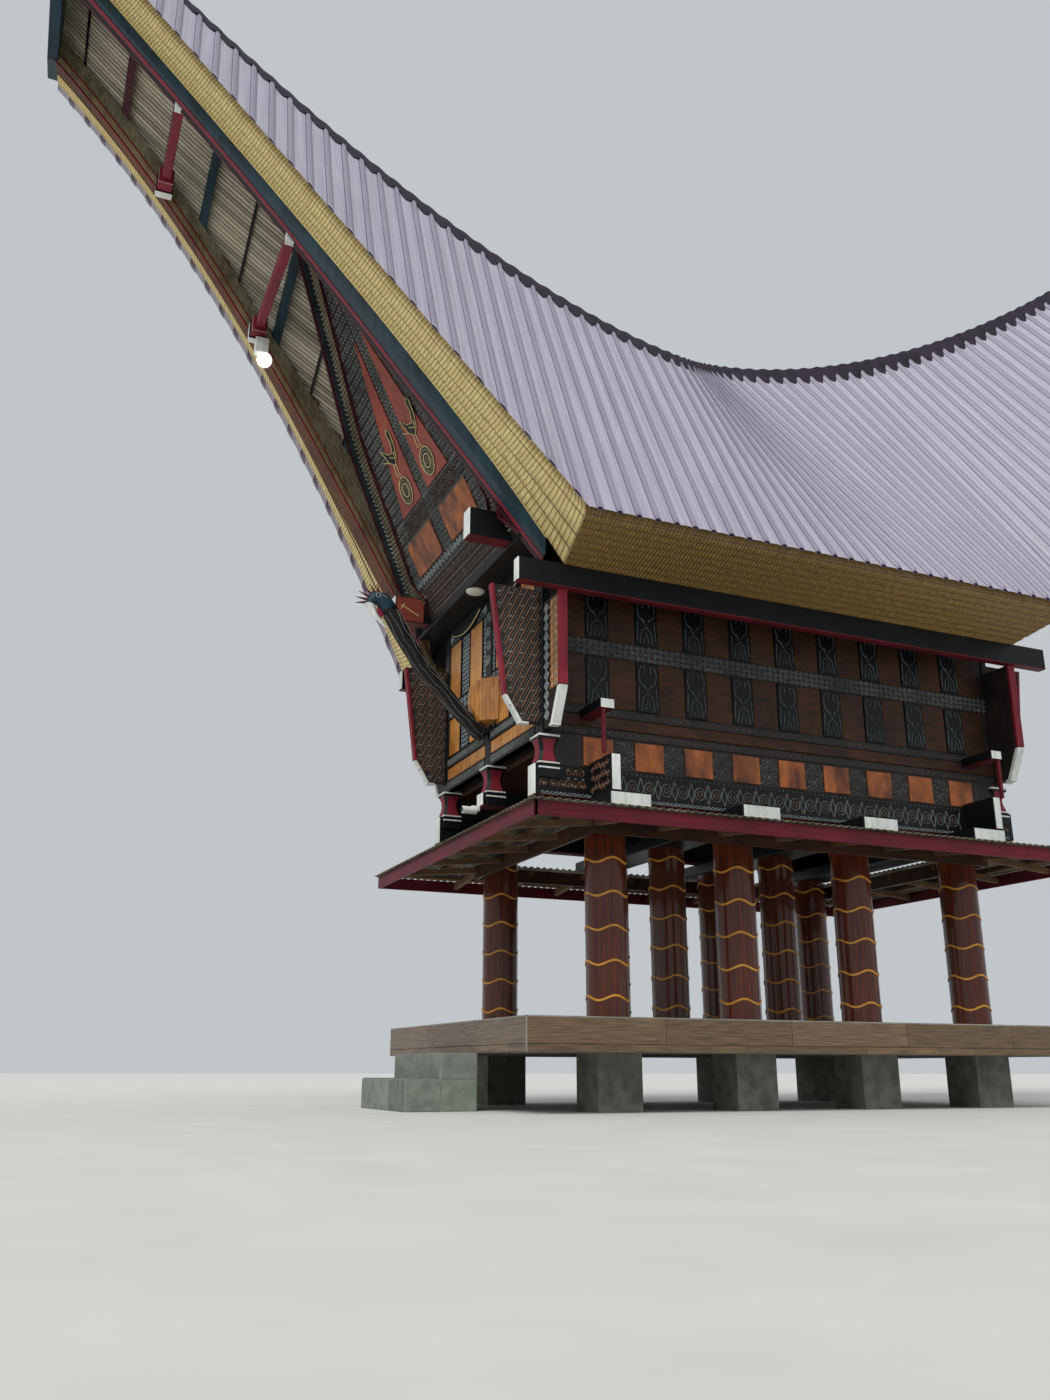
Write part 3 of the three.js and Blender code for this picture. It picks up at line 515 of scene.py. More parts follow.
def piece(name, bm, materials, replaces=(), smooth=None):
    """Makes the mesh an object of the barn. smooth is the angle under which edges are rounded off."""
    bmesh.ops.recalc_face_normals(bm, faces=bm.faces)
    mesh = new_mesh(name, bm, materials)
    if smooth:
        mesh.shade_smooth()
        mesh.set_sharp_from_angle(angle=math.radians(smooth))
    made = new_object(name, mesh)
    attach(made, "root")
    if replaces:
        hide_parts(*replaces)


def dressed(node, bm, materials, smooth=None):
    """Makes the mesh the finished form of the frame's node, in the node's place."""
    piece(f"{node}_dressed", bm, materials, [node], smooth)


def paint_node(node, material):
    """Gives a finish to a node that is shown as the frame has it."""
    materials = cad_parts[node].data.materials
    materials.clear()
    materials.append(material)


# Roof covering

SHEET_LIFT = 0.002
SHEET_WAVE = 0.004
SHEET_THICK = 0.003
SHEET_START = 0.004
SHEET_STEPS = 12


def rib_middles():
    """Where the ribs' feet are, from the middle of the eave to the prow."""
    middle = RIB_PITCH / 2
    while middle + RIB_BASE / 2 < LAST_FOOT:
        yield middle
        middle += RIB_PITCH


def rib_places():
    """Ridge places where the sheet turns, each with how far it stands up there."""
    turns = {0.0: 0.0}
    for middle in rib_middles():
        for half, height in ((RIB_BASE / 2, 0.0), (RIB_TOP / 2, RIB_HEIGHT)):
            turns[middle - half] = turns[middle + half] = height
        for share in (0.35, 0.65):
            turns[middle + RIB_BASE / 2 + (RIB_PITCH - RIB_BASE) * share] = SHEET_WAVE / 2
    turns[EAVE_Y] = 0.0
    half = [(ridge_place(foot), height) for foot, height in sorted(turns.items()) if foot < LAST_FOOT]
    half.append((RIDGE_END, 0.0))
    return [(-y, height) for y, height in reversed(half[1:])] + half


def roof_sheet(side, word):
    """Ribbed steel sheet: each rib stands up across the slope, and the flats between are slightly uneven."""
    random.seed(7 + side)
    rows, feet = [], []
    shares = span(SHEET_START, 1, 1 / SHEET_STEPS)
    for y, height in rib_places():
        r = rib(y)
        wave = [0.0] + [random.uniform(0, SHEET_WAVE) for _ in shares[2:]] + [0.0]
        steep = math.hypot(1, r.slope)
        rows.append([on_rib(r, r.x * t, r.top + (r.z - r.top) * t + (height + SHEET_LIFT + w) * steep, side)
                     for t, w in zip(shares, wave)])
        feet.append(r)
    bm = bmesh.new()
    grid(bm, rows,
         sizes=lambda i, j: (feet[i].foot, shares[j] * math.hypot(feet[i].x, feet[i].top - feet[i].z)))
    thicken_sheet(bm, SHEET_THICK)
    piece(f"roof_sheet_{word}", bm, [ROOF_SHEET], [f"roof_slope_{word}"])


# Rib ends: material number, share of the rib's height, and from where to where, inwards from the eave.
# The second is a dark plate half the rib high: painted shade for the open hollow under the lip.
RIB_LIPS_AND_SHADE = ((0, 1.0, -0.001, 0.012), (1, 0.5, -0.003, 0.0))
CLOSURE_DROP = 0.005


def rib_ends(side, word):
    """Each rib's end over the eave and rakes: a folded lip, with a dark plate below it that is painted shade
    for the open gap.
    """
    outline = [(-RIB_BASE / 2, 0), (-RIB_TOP / 2, RIB_HEIGHT), (RIB_TOP / 2, RIB_HEIGHT), (RIB_BASE / 2, 0),
               (RIB_BASE / 2, -CLOSURE_DROP), (-RIB_BASE / 2, -CLOSURE_DROP)]
    bm = bmesh.new()
    for end in (-1, 1):
        for middle in rib_middles():
            for index, share, near, far in RIB_LIPS_AND_SHADE:
                rings = []
                for inward in (near, far):
                    ring = []
                    for foot, height in outline:
                        r = rib(end * ridge_place(middle + foot))
                        lift = height * share * math.hypot(1, r.slope)
                        ring.append(on_rib(r, r.x - inward, r.z + r.slope * inward + lift, side))
                    rings.append(ring)
                grid(bm, rings, closed=True, index=index)
    piece(f"rib_closures_{word}", bm, [SHEET_END, RIDGE_STEEL])


LINING_GAP = 0.03


def lining(side, word):
    """Close-laid boards over the slats, from the ridge down to the bamboo edge."""
    rings = []
    for y in span(-RIDGE_END, RIDGE_END, 0.25):
        r = rib(y)
        rings.append([on_rib(r, x, z + lift, side) for x, z, lift in (
            (0.01, r.top - ROOF_DEPTH, LINING_GAP), (r.band_x, r.soffit, LINING_GAP),
            (r.band_x, r.soffit, 2 * LINING_GAP), (0.01, r.top - ROOF_DEPTH, 2 * LINING_GAP))])
    bm = bmesh.new()
    grid(bm, rings, closed=True)
    piece(f"roof_lining_{word}", bm, [TAN])


CAP_WIDE = 0.168
CAP_NARROWING = 0.0675
CAP_TOP = 0.05
CAP_RISE = 0.018
CAP_EDGE = 0.012
CAP_EDGE_RISE = 0.031
CAP_JOINT_Y = 2.43


def cap_ring(y):
    """Section of the ridge capping: narrow and high over each rib, and dipping to the sheet between two."""
    r = rib(y)
    bump = 0.5 - 0.5 * math.cos(2 * math.pi * r.foot / RIB_PITCH)
    half = CAP_WIDE - CAP_NARROWING * bump
    top = CAP_TOP + CAP_RISE * bump
    low = CAP_EDGE + CAP_EDGE_RISE * bump
    one = [on_rib(r, x, r.top - r.slope * x + lift)
           for x, lift in ((0, top), (half * 0.5, top), (half, low + CAP_EDGE), (half, low), (0, low))]
    other = [on_rib(r, x, r.top - r.slope * x + lift, -1)
             for x, lift in ((half, low), (half, low + CAP_EDGE), (half * 0.5, top))]
    return one + other


def ridge_cap():
    """Folded ridge pieces, each lapped over the next, with lower edges that dip between the ribs."""
    feet = span(0.0, LAST_FOOT, RIB_PITCH / 6)
    places = [-ridge_place(f) for f in reversed(feet[1:])] + [ridge_place(f) for f in feet]
    for word, low, high in (("front", -RIDGE_END, -CAP_JOINT_Y), ("middle", -CAP_JOINT_Y, CAP_JOINT_Y),
                            ("back", CAP_JOINT_Y, RIDGE_END)):
        inside = [low] + [y for y in places if low + 0.01 < y < high - 0.01] + [high]
        bm = bmesh.new()
        grid(bm, [cap_ring(y) for y in inside], closed=True)
        piece(f"ridge_capping_{word}", bm, [RIDGE_STEEL], [f"ridge_cap_{word}"], smooth=25)


# Bamboo edge: where its rows part, as shares of its width, and how they step and round off
RAKE_ROWS = (0.07, 0.42, 0.7, 1)
EAVE_ROWS = tuple(i / 8 for i in range(9))
ROW_STEP = 0.014
ROW_JOINT = 0.006
STICK_ROUND = 0.006


def stick_lean(foot):
    """How far a stick's inner end leans towards the prow, and its outer end towards the middle."""
    if foot < EAVE_Y:
        lean = min(0.1, 0.35 * foot, 0.35 * (EAVE_Y - foot))
        return lean, lean
    past = foot - EAVE_Y
    return min(0.105, 0.35 * past, 0.9 * (LAST_FOOT - foot)), min(0.05, 0.2 * past)


def bamboo_levels(rows):
    """Turns of the layered edge from its top to its inner face: share of the width, step down, row count
    for the pattern map, and which end it is."""
    levels = [(0.0, 0.0, 0.3, "top"), (0.0, 0.0, 0.3, "rim")]
    if rows[0]:
        levels.append((rows[0] - ROW_JOINT, 0.0, 0.3, ""))
    for k, (a, b) in enumerate(zip(rows, rows[1:])):
        levels += [(a + ROW_JOINT, 0.0, k + 0.02, ""), ((a + b) / 2, ROW_STEP, k + 0.5, ""),
                   (b - ROW_JOINT, ROW_STEP, k + 0.98, "")]
    return levels + [(1.0, 0.0, len(rows) - 0.5, "inner")]


def bamboo_band(bm, side, end, low, high, rows, stick, index):
    """One stretch of the layered bamboo edge: round sticks across it, in rows that step down one by one."""
    levels = bamboo_levels(rows)
    feet = span(low, high, stick)
    marks = []
    for a, b in zip(feet, feet[1:]):
        marks += [(a, 0), (a + (b - a) * 0.3, STICK_ROUND), (a + (b - a) * 0.7, STICK_ROUND)]
    marks.append((feet[-1], 0))
    rings = []
    for foot, lift in marks:
        inward, outward = stick_lean(foot)
        ring = []
        for share, step, _, place in levels:
            r = rib(end * ridge_place(foot - outward if place == "top" else foot + inward * share))
            outer = r.x - BAND_INSET
            reach = outer - r.band_x - r.face
            x = outer - reach * share
            z = r.z + (r.band_z - r.z) * share * reach / (outer - r.band_x)
            drop = {"top": 0.012 - BAND_INSET * r.slope, "rim": 0.0, "inner": -BAND_INNER}
            ring.append(on_rib(r, x, z - drop.get(place, step + lift), side))
        rings.append(ring)
    grid(bm, rings, closed=True, index=index, sizes=lambda i, j: (marks[i][0], levels[j % len(levels)][2]))


def bamboo_edge(side, word):
    bm = bmesh.new()
    for end in (-1, 1):
        bamboo_band(bm, side, end, EAVE_Y, LAST_FOOT, RAKE_ROWS, RAKE_STICK, 0)
        bamboo_band(bm, side, end, 0.0, EAVE_Y, EAVE_ROWS, EAVE_STICK, 1)
    piece(f"bamboo_layers_{word}", bm, [BAMBOO, SHADED_EAVE_BAMBOO], [f"bamboo_edge_{word}"], smooth=50)


# Bargeboards: each section gives its corners on a rib as x and z

BOARD_FINISHES = [TEAL, MAROON, BAMBOO_LINE, RED, TAN, BLACK, WHITE, SPLIT_STRIP, RUST]
# Strips behind the boards: finish, thickness, height, distance in from the face, and height over the edge
RIGHT_STRIPS = (
    (RED, 0.055, 0.014, BOARD_THICK - 0.045, -0.01),
    (BLACK, 0.06, 0.03, BOARD_THICK + 0.008, 0.004),
    (MAROON, 0.03, 0.034, BOARD_THICK + 0.068, 0.0),
    (TAN, 0.045, 0.04, BOARD_THICK + 0.008, 0.06),
    (BLACK, 0.08, 0.045, BOARD_THICK + 0.008, 0.13),
)
LEFT_STRIPS = (
    (RED, 0.02, 0.014, BOARD_THICK - 0.01, -0.01),
    (TAN, 0.02, 0.075, BOARD_THICK + 0.006, 0.02),
    (RED, 0.024, 0.018, BOARD_THICK + 0.006, 0.1),
)
WHITE_STRIP = (0.014, 0.007, BOARD_THICK + 0.078, 0.123)
WHITE_STRIP_START = 3.6
INNER_SLATS = 5


def along_rake(bm, side, end, low, section, finish):
    """A long strip that follows the rake from a ridge place up to the prow."""
    rings = []
    for y in span(low, RIDGE_END, 0.25):
        r = rib(end * y)
        rings.append([on_rib(r, x, z, side) for x, z in section(r)])
    grid(bm, rings, closed=True, index=BOARD_FINISHES.index(finish))


def strip(x0, x1, z0, z1):
    return [(x0, z0), (x1, z0), (x1, z1), (x0, z1)]


def board(r):
    low = r.band_z - BOARD_DROP
    return [(r.band_x + r.face, low), (r.band_x - BOARD_THICK, low), (r.band_x - BOARD_THICK, r.soffit),
            (r.band_x + r.face, r.band_z + 0.06)]


def board_back(r):
    x = r.band_x - BOARD_THICK
    return strip(x, x - 0.008, r.band_z - BOARD_DROP + 0.012, r.soffit)


def pale_edge(r):
    """The bamboo's lowest stick, which shows as a pale line over the board."""
    x = r.band_x + r.face
    z = r.band_z + (r.z - r.band_z) * r.face / (r.x - BAND_INSET - r.band_x)
    return strip(x + 0.006, x - 0.012, z - 0.03, z + 0.01)


def board_foot(r):
    low = r.band_z - BOARD_DROP
    return strip(r.band_x + r.face, r.band_x - BOARD_THICK, low - 0.006, low + 0.002)


def hanging(thick, high, inward, lift):
    def section(r):
        x, z = r.band_x - inward, r.band_z - BOARD_DROP + lift
        return strip(x, x - thick, z, z + high)
    return section


def inner_slat(number):
    """One of the slats on the board's inner face, between its red line and the soffit."""
    def section(r):
        low = r.band_z - BOARD_DROP + 0.125
        high = (r.soffit - low) / INNER_SLATS
        x = r.band_x - BOARD_THICK - 0.004
        return strip(x, x - 0.014, low + number * high, low + (number + 0.85) * high)
    return section


def bargeboard(side, end, node):
    """Board that hangs inside the bamboo edge: blue-green outside, maroon inside, with a thin red foot line.
    Battens run behind the boards on the right, and slats cover the inner face of those on the left."""
    sections = [(TEAL, board), (MAROON, board_back), (BAMBOO_LINE, pale_edge)]
    if side < 0:
        sections.append((RUST, board_foot))
    sections += [(finish, hanging(*sizes)) for finish, *sizes in (RIGHT_STRIPS if side > 0 else LEFT_STRIPS)]
    if side < 0:
        sections += [(SPLIT_STRIP, inner_slat(number)) for number in range(INNER_SLATS)]
    bm = bmesh.new()
    for finish, section in sections:
        along_rake(bm, side, end, BOARD_START, section, finish)
    if side > 0:
        along_rake(bm, side, end, WHITE_STRIP_START, hanging(*WHITE_STRIP), WHITE)
    dressed(node, bm, BOARD_FINISHES)


# Underside of the slopes

SLAT_WIDE = 0.042
SLAT_JOINT = 0.002
SLAT_THICK = (0.012, 0.02)
SLATS_AT_MOST = 120
BACK_SLATS_FROM = 200
SOFFIT_START = 1.3
SOFFIT_OUT = (0.8, 0.6)
RAFTER_START = 2.2
RAFTER_END = 7.0
RAFTER_PITCH = 0.48
RAFTER_FROM_RIDGE = 0.12
STOUT_RAFTER = (0.04, 0.1)
THIN_RAFTER = (0.012, 0.045)
MAROON_RAFTER = 9


def soffit_length(r):
    return math.hypot(r.band_x - BOARD_THICK, r.top - ROOF_DEPTH - r.soffit)


def on_soffit(r, away, drop, side):
    """A point under the slope at a distance from the ridge, measured down the slope."""
    share = away / math.hypot(r.band_x, r.top - ROOF_DEPTH - r.soffit)
    z = r.top - ROOF_DEPTH + (r.soffit - r.top + ROOF_DEPTH) * share
    return on_rib(r, max(0.0, r.band_x * share - drop * SOFFIT_OUT[0]), z - drop * SOFFIT_OUT[1], side)


def soffit(side, word):
    """Split bamboo slats that run along the roof, cut off where the board comes across them."""
    random.seed(31 + side)
    bm = bmesh.new()
    places = span(SOFFIT_START, RIDGE_END, 0.3)
    for end in (-1, 1):
        ribs = [rib(end * y) for y in places]
        for j in range(SLATS_AT_MOST):
            away = 0.05 + j * SLAT_WIDE
            inside = [r for r in ribs if soffit_length(r) + BOARD_THICK > away + SLAT_WIDE]
            if len(inside) < 2:
                break
            thick = random.uniform(*SLAT_THICK)
            rings = [[on_soffit(r, away + SLAT_JOINT, SLAT_JOINT, side),
                      on_soffit(r, away + SLAT_WIDE * 0.3, thick, side),
                      on_soffit(r, away + SLAT_WIDE * 0.7, thick, side),
                      on_soffit(r, away + SLAT_WIDE - SLAT_JOINT, SLAT_JOINT, side)] for r in inside]
            number = j + 0.5 + (BACK_SLATS_FROM if end > 0 else 0)
            grid(bm, rings, closed=True, sizes=lambda i, k, n=number, q=inside: (q[i].foot, n))
    piece(f"soffit_slats_{word}", bm, [SLATS])


def rafters(side, word):
    """Rafters from the ridge to the boards: stout ones, blue-green up to a maroon last one, with a thin dark
    one between each two."""
    bm = bmesh.new()
    for end in (-1, 1):
        for k, y in enumerate(span(RAFTER_START, RAFTER_END, RAFTER_PITCH)):
            half, deep = STOUT_RAFTER if k % 2 else THIN_RAFTER
            index = 2 if k == MAROON_RAFTER else 1 - k % 2
            r0, r1 = rib(end * (y - half)), rib(end * (y + half))
            rings = [[on_soffit(r0, away, 0.015, side), on_soffit(r1, away, 0.015, side),
                      on_soffit(r1, away, deep, side), on_soffit(r0, away, deep, side)]
                     for away in (RAFTER_FROM_RIDGE, soffit_length(r0))]
            grid(bm, rings, closed=True, index=index)
    piece(f"rafters_{word}", bm, [TEAL, BLACK, MAROON])


PROW_DEEP = 0.07


def prow_board(end, node):
    """Upright board that closes the prow, let into the roof's end."""
    low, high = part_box(node)
    r = rib(RIDGE_END)
    outline = [(0, r.top - 0.02), (r.x - 0.06, r.z + 0.06), (r.band_x - BOARD_THICK, r.band_z - BOARD_DROP)]
    outline += [(-x, z) for x, z in reversed(outline[1:])]
    inner = (low.y if end > 0 else high.y) - end * PROW_DEEP
    outer = high.y if end > 0 else low.y
    bm = bmesh.new()
    plate(bm, [Vector((x, inner, z)) for x, z in outline], Vector((0, outer - inner, 0)), 0, 0.006)
    dressed(node, bm, [TEAL])


def dress_roof():
    for word, side in SIDES:
        roof_sheet(side, word)
        rib_ends(side, word)
        bamboo_edge(side, word)
        lining(side, word)
        soffit(side, word)
        rafters(side, word)
        for end_word, end in ENDS:
            bargeboard(side, end, f"bargeboard_{end_word}_{word}")
    for word, end in ENDS:
        prow_board(end, f"prow_board_{word}")
    ridge_cap()


# Beams: dark sides, red underneath and white ends

def end_paint(axis, sides, ends, under):
    """Material numbers for a beam along an axis."""
    def paint(face):
        if abs(face.normal[axis]) > 0.9:
            return ends
        return under if face.normal.z < -0.9 else sides
    return paint


def beam(node, axis, under=2):
    bm = bmesh.new()
    block(bm, *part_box(node), 0.008, end_paint(axis, 0, 1, under))
    dressed(node, bm, [BLACK, WHITE, DEEP_RED])


def dress_beams():
    for row in range(1, 5):
        beam(f"cross_plank_{row}", 0, under=0)
    for word, _ in SIDES:
        for kind in ("base_beam", "eave_plate", "upper_beam"):
            beam(f"{kind}_{word}", 1)
    beam("base_beam_middle", 1)


# Columns

COLUMN_SIDES = 64
FURROW_DEEP = 0.0025
LINE_FOOT = 0.175
LINE_PITCH = 0.285
LINE_WAVES = 4
LINE_SWING = 0.02
LINE_STEPS = 96
LINE_SECTION = ((-0.01, 0.012), (0.005, 0.009), (0.005, -0.009), (-0.01, -0.012))


def column(node):
    """Round palm trunk, lightly furrowed upright, with wavy ochre lines round it."""
    low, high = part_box(node)
    middle = (low + high) / 2
    radius = (high.x - low.x) / 2
    random.seed(node)
    furrows = [random.uniform(-FURROW_DEEP, 0) for _ in range(COLUMN_SIDES)]

    def round_point(angle, away, z):
        return Vector((middle.x + away * math.cos(angle), middle.y + away * math.sin(angle), z))

    bm = bmesh.new()
    rings = [[round_point(2 * math.pi * k / COLUMN_SIDES, radius + furrows[k], z)
              for k in range(COLUMN_SIDES)] for z in span(low.z, high.z, 0.2)]
    grid(bm, rings, closed=True)
    turn = random.uniform(0, 2)
    z = low.z + LINE_FOOT
    while z < high.z - 0.05:
        rings = []
        for k in range(LINE_STEPS + 1):
            angle = 2 * math.pi * k / LINE_STEPS
            line = z + LINE_SWING * math.cos(LINE_WAVES * angle + turn)
            rings.append([round_point(angle, radius + away, line + lift) for away, lift in LINE_SECTION])
        grid(bm, rings, closed=True, index=1)
        z += LINE_PITCH
    dressed(node, bm, [PALM, YELLOW], smooth=40)


def dress_columns():
    for node in sorted(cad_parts):
        if node.startswith("column_"):
            column(node)


# Platform and steps

SLAB_LOW = 0.455
TILE_LONG = 1.2
TILE_HIGH = 0.2
TILE_THICK = 0.008
TILE_PROUD = 0.006
TILE_JOINT = 0.004
LOW_ROW_SHIFT = 0.45
TOP_ROW_SHIFT = 0.4
TRIM_WIDE = 0.01
STEP_JOINT = 0.008
STEP_RISE = 0.25
STEP_GOING = 0.3
STEP_TILE_FRONT = 0.42
STEP_TILE_SIDE = 0.31


def tile(bm, rng, low, high, bevel=0.002):
    value = rng.uniform(0.72, 1.25)
    shade = (value, value * rng.uniform(0.95, 1.02), value * rng.uniform(0.9, 1.0), 1)
    block(bm, low, high, bevel, shade=shade)


def within(reach, joint):
    """Leaves half a joint at both ends."""
    return reach[0] + joint / 2, reach[1] - joint / 2


def tile_row(bm, rng, axis, start, end, level, face, out, shift=0.0):
    """A row of tiles along an axis, on an upright face at a distance from the middle."""
    cuts = [start]
    place = start - shift
    while place < end:
        place += TILE_LONG
        if place > start + 0.02:
            cuts.append(min(place, end))
    for reach in zip(cuts, cuts[1:]):
        tile(bm, rng, *corners(axis, within(reach, TILE_JOINT), (face, face + out),
                               within(level, TILE_JOINT)))


def platform_tiles(low, high):
    """Plank tiles: two rows round the edge, and rows across the top that start at three places in turn."""
    rng = random.Random(12)
    bm = bmesh.new()
    split = high.z - TILE_HIGH
    for axis in (0, 1):
        for sign, face in ((-1, low[1 - axis]), (1, high[1 - axis])):
            out = sign * TILE_THICK
            tile_row(bm, rng, axis, low[axis], high[axis], (split, high.z), face, out)
            tile_row(bm, rng, axis, low[axis], high[axis], (SLAB_LOW, split), face, out, LOW_ROW_SHIFT)
    y = low.y
    row = 0
    while y < high.y - 0.01:
        start = low.x - TOP_ROW_SHIFT * (row % 3)
        cuts = [low.x] + [x for x in span(start, start + 4 * TILE_LONG, TILE_LONG)
                          if low.x + 0.02 < x < high.x - 0.02] + [high.x]
        for reach in zip(cuts, cuts[1:]):
            tile(bm, rng, *corners(0, within(reach, TILE_JOINT),
                                   within((y, min(y + TILE_HIGH, high.y)), TILE_JOINT),
                                   (high.z, high.z + TILE_PROUD)))
        y += TILE_HIGH
        row += 1
    piece("platform_tiles", bm, [PLANK_TILE])


def platform_trim(low, high):
    """Aluminium strips round the platform's top edge and down its four corners."""
    edge = TILE_THICK + 0.001
    bm = bmesh.new()
    for axis in (0, 1):
        for face in (low[1 - axis] - edge, high[1 - axis] + edge - TRIM_WIDE):
            block(bm, *corners(axis, (low[axis] - edge, high[axis] + edge), (face, face + TRIM_WIDE),
                               (high.z - 0.004, high.z + TILE_THICK)), 0.002)
    for x in (low.x - edge, high.x + edge - TRIM_WIDE):
        for y in (low.y - edge, high.y + edge - TRIM_WIDE):
            block(bm, (x, y, SLAB_LOW), (x + TRIM_WIDE, y + TRIM_WIDE, high.z), 0.002)
    piece("platform_edge_trim", bm, [TRIM])


def step_tiles():
    """Split stone tiles on the fronts, sides and tops of the two steps."""
    rng = random.Random(5)
    low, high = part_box("front_steps")
    middle_y = low.y + STEP_GOING
    bm = bmesh.new()

    def upright(axis, reach, level, face, sign, wide):
        cuts = span(*reach, wide)
        for part in zip(cuts, cuts[1:]):
            tile(bm, rng, *corners(axis, within(part, STEP_JOINT), (face, face + sign * TILE_PROUD),
                                   within(level, STEP_JOINT)), 0.003)

    steps = ((low.y, (0, STEP_RISE)), (middle_y, (STEP_RISE, high.z)))
    for y, level in steps:
        upright(0, (low.x, high.x), level, y, -1, STEP_TILE_FRONT)
    for x, sign in ((low.x, -1), (high.x, 1)):
        for y, level in steps:
            upright(1, (y, high.y), level, x, sign, STEP_TILE_SIDE)
    for y0, y1, z in ((low.y, middle_y, STEP_RISE), (middle_y, high.y, high.z)):
        cuts = span(low.x, high.x, STEP_TILE_FRONT)
        for part in zip(cuts, cuts[1:]):
            tile(bm, rng, *corners(0, within(part, STEP_JOINT), within((y0, y1), STEP_JOINT),
                                   (z, z + TILE_PROUD)), 0.003)
    piece("step_tiles", bm, [STONE_TILE])


def dress_base():
    low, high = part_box("platform")
    platform_tiles(low, high)
    platform_trim(low, high)
    step_tiles()
    paint_node("platform", CONCRETE)
    paint_node("front_steps", GROUT)


# Carving: raised lines on a flat face, each face with a frame of its own

PAINTS = [BLACK, CARVED, ORANGE, CHALK, RED, WHITE, TEAL, BRICK, MAROON, SPLIT_STRIP, BROWN, BAMBOO_LINE,
          SLATE, FADED, RUST, DEEP_RED, BLOTCHED]
(black, carved, orange, chalk, red, white, teal, brick, maroon, straw, plank, cream,
 slate, faded, rust, dark_red, blotched) = range(len(PAINTS))


class Face:
    """A flat face's own frame: at(u, v, w) is the point u to the right, v up and w out of it."""

    def __init__(self, matrix):
        self.matrix = matrix

    def __call__(self, u, v, w=0.0):
        return self.matrix @ Vector((u, v, w))

    def moved(self, u, v, w=0.0):
        return Face(self.matrix @ Matrix.Translation((u, v, w)))

    def lifted(self, w):
        return self.moved(0, 0, w)


def face_frame(origin, right, up):
    right, up = Vector(right).normalized(), Vector(up).normalized()
    turn = Matrix((right, up, right.cross(up))).transposed()
    return Face(Matrix.Translation(origin) @ turn.to_4x4())


FLAT = Face(Matrix.Identity(4))


def mirrored(sign, a, b):
    """A stretch on one side of the middle, from low to high."""
    return sorted((sign * a, sign * b))


def bar(bm, at, u0, u1, v0, v1, w0, w1, index, bevel=0.003):
    outline = [at(u0, v0, w0), at(u1, v0, w0), at(u1, v1, w0), at(u0, v1, w0)]
    plate(bm, outline, at(0, 0, w1) - at(0, 0, w0), index, bevel)


def stroke(bm, at, points, wide, high, index):
    """A raised line with a ridge along its middle."""
    rings = []
    for k, (u, v) in enumerate(points):
        u0, v0 = points[max(0, k - 1)]
        u1, v1 = points[min(len(points) - 1, k + 1)]
        length = math.hypot(u1 - u0, v1 - v0) or 1
        side_u, side_v = -(v1 - v0) / length * wide / 2, (u1 - u0) / length * wide / 2
        rings.append([at(u - side_u, v - side_v), at(u, v, high), at(u + side_u, v + side_v)])
    grid(bm, rings, closed=True, index=index)


def arc(turn0, turn1, radius0, radius1, steps, middle=(0, 0)):
    """Points round a middle, with the turn in whole circles and the radius going evenly."""
    points = []
    for k in range(steps + 1):
        share = k / steps
        angle = 2 * math.pi * (turn0 + (turn1 - turn0) * share)
        radius = radius0 + (radius1 - radius0) * share
        points.append((middle[0] + radius * math.cos(angle), middle[1] + radius * math.sin(angle)))
    return points


def diamond(half):
    return [(half, 0), (0, half), (-half, 0), (0, -half), (half, 0)]


# Motifs of the carver's stock, each drawn in a cell one wide and one high
DOT = [[(-0.14, 0), (0.14, 0)]]
TICK = [[(0, -0.38), (0, 0.38)]]
SLANT = [[(-0.3, -0.3), (0.3, 0.3)]]
BRAID = [[(-0.5, -0.5), (0.0, -0.1), (0.5, 0.5)]]
LATTICE = [[(-0.5, -0.5), (0.5, 0.5)], [(-0.5, 0.5), (0.5, -0.5)], diamond(0.22)]
NESTED = [diamond(0.46), diamond(0.2)]
KEY = [[(-0.5, -0.5), (0, 0), (-0.25, 0.25), (0.25, 0.5)], [(0.5, 0.5), (0.25, 0), (0.5, -0.25), (0, -0.5)]]
OVAL = [arc(0, 1, 0.3, 0.3, 12), arc(0, 1, 0.14, 0.14, 8), [(-0.5, 0.5), (-0.34, 0), (-0.5, -0.5)],
        [(0.5, 0.5), (0.34, 0), (0.5, -0.5)]]
CURL = [arc(0.1, 1.6, 0.06, 0.44, 14)]
BEAD = [arc(0, 1, 0.36, 0.36, 8)]
SCROLL = [arc(0.5, -0.75, 0.24, 0.05, 10, (-0.26, 0)), arc(0, 1.25, 0.24, 0.05, 10, (0.26, 0)),
          [(-0.5, -0.05), (-0.26, -0.4), (0.26, 0.4), (0.5, 0.05)]]
BUFFALO = [
    [(-0.1, 0.0), (-0.34, 0.1), (-0.42, 0.28), (-0.3, 0.45), (-0.12, 0.44), (-0.16, 0.3)],
    [(0.1, 0.0), (0.34, 0.1), (0.42, 0.28), (0.3, 0.45), (0.12, 0.44), (0.16, 0.3)],
    [(-0.16, 0.06), (0, -0.12), (0.16, 0.06)],
    [(-0.3, -0.48), (-0.22, -0.2), (0, -0.12), (0.22, -0.2), (0.3, -0.48)],
    [(-0.12, -0.46), (0, -0.2), (0.12, -0.46)],
    [(-0.44, -0.4), (-0.4, 0.0)],
    [(0.44, -0.4), (0.4, 0.0)],
]


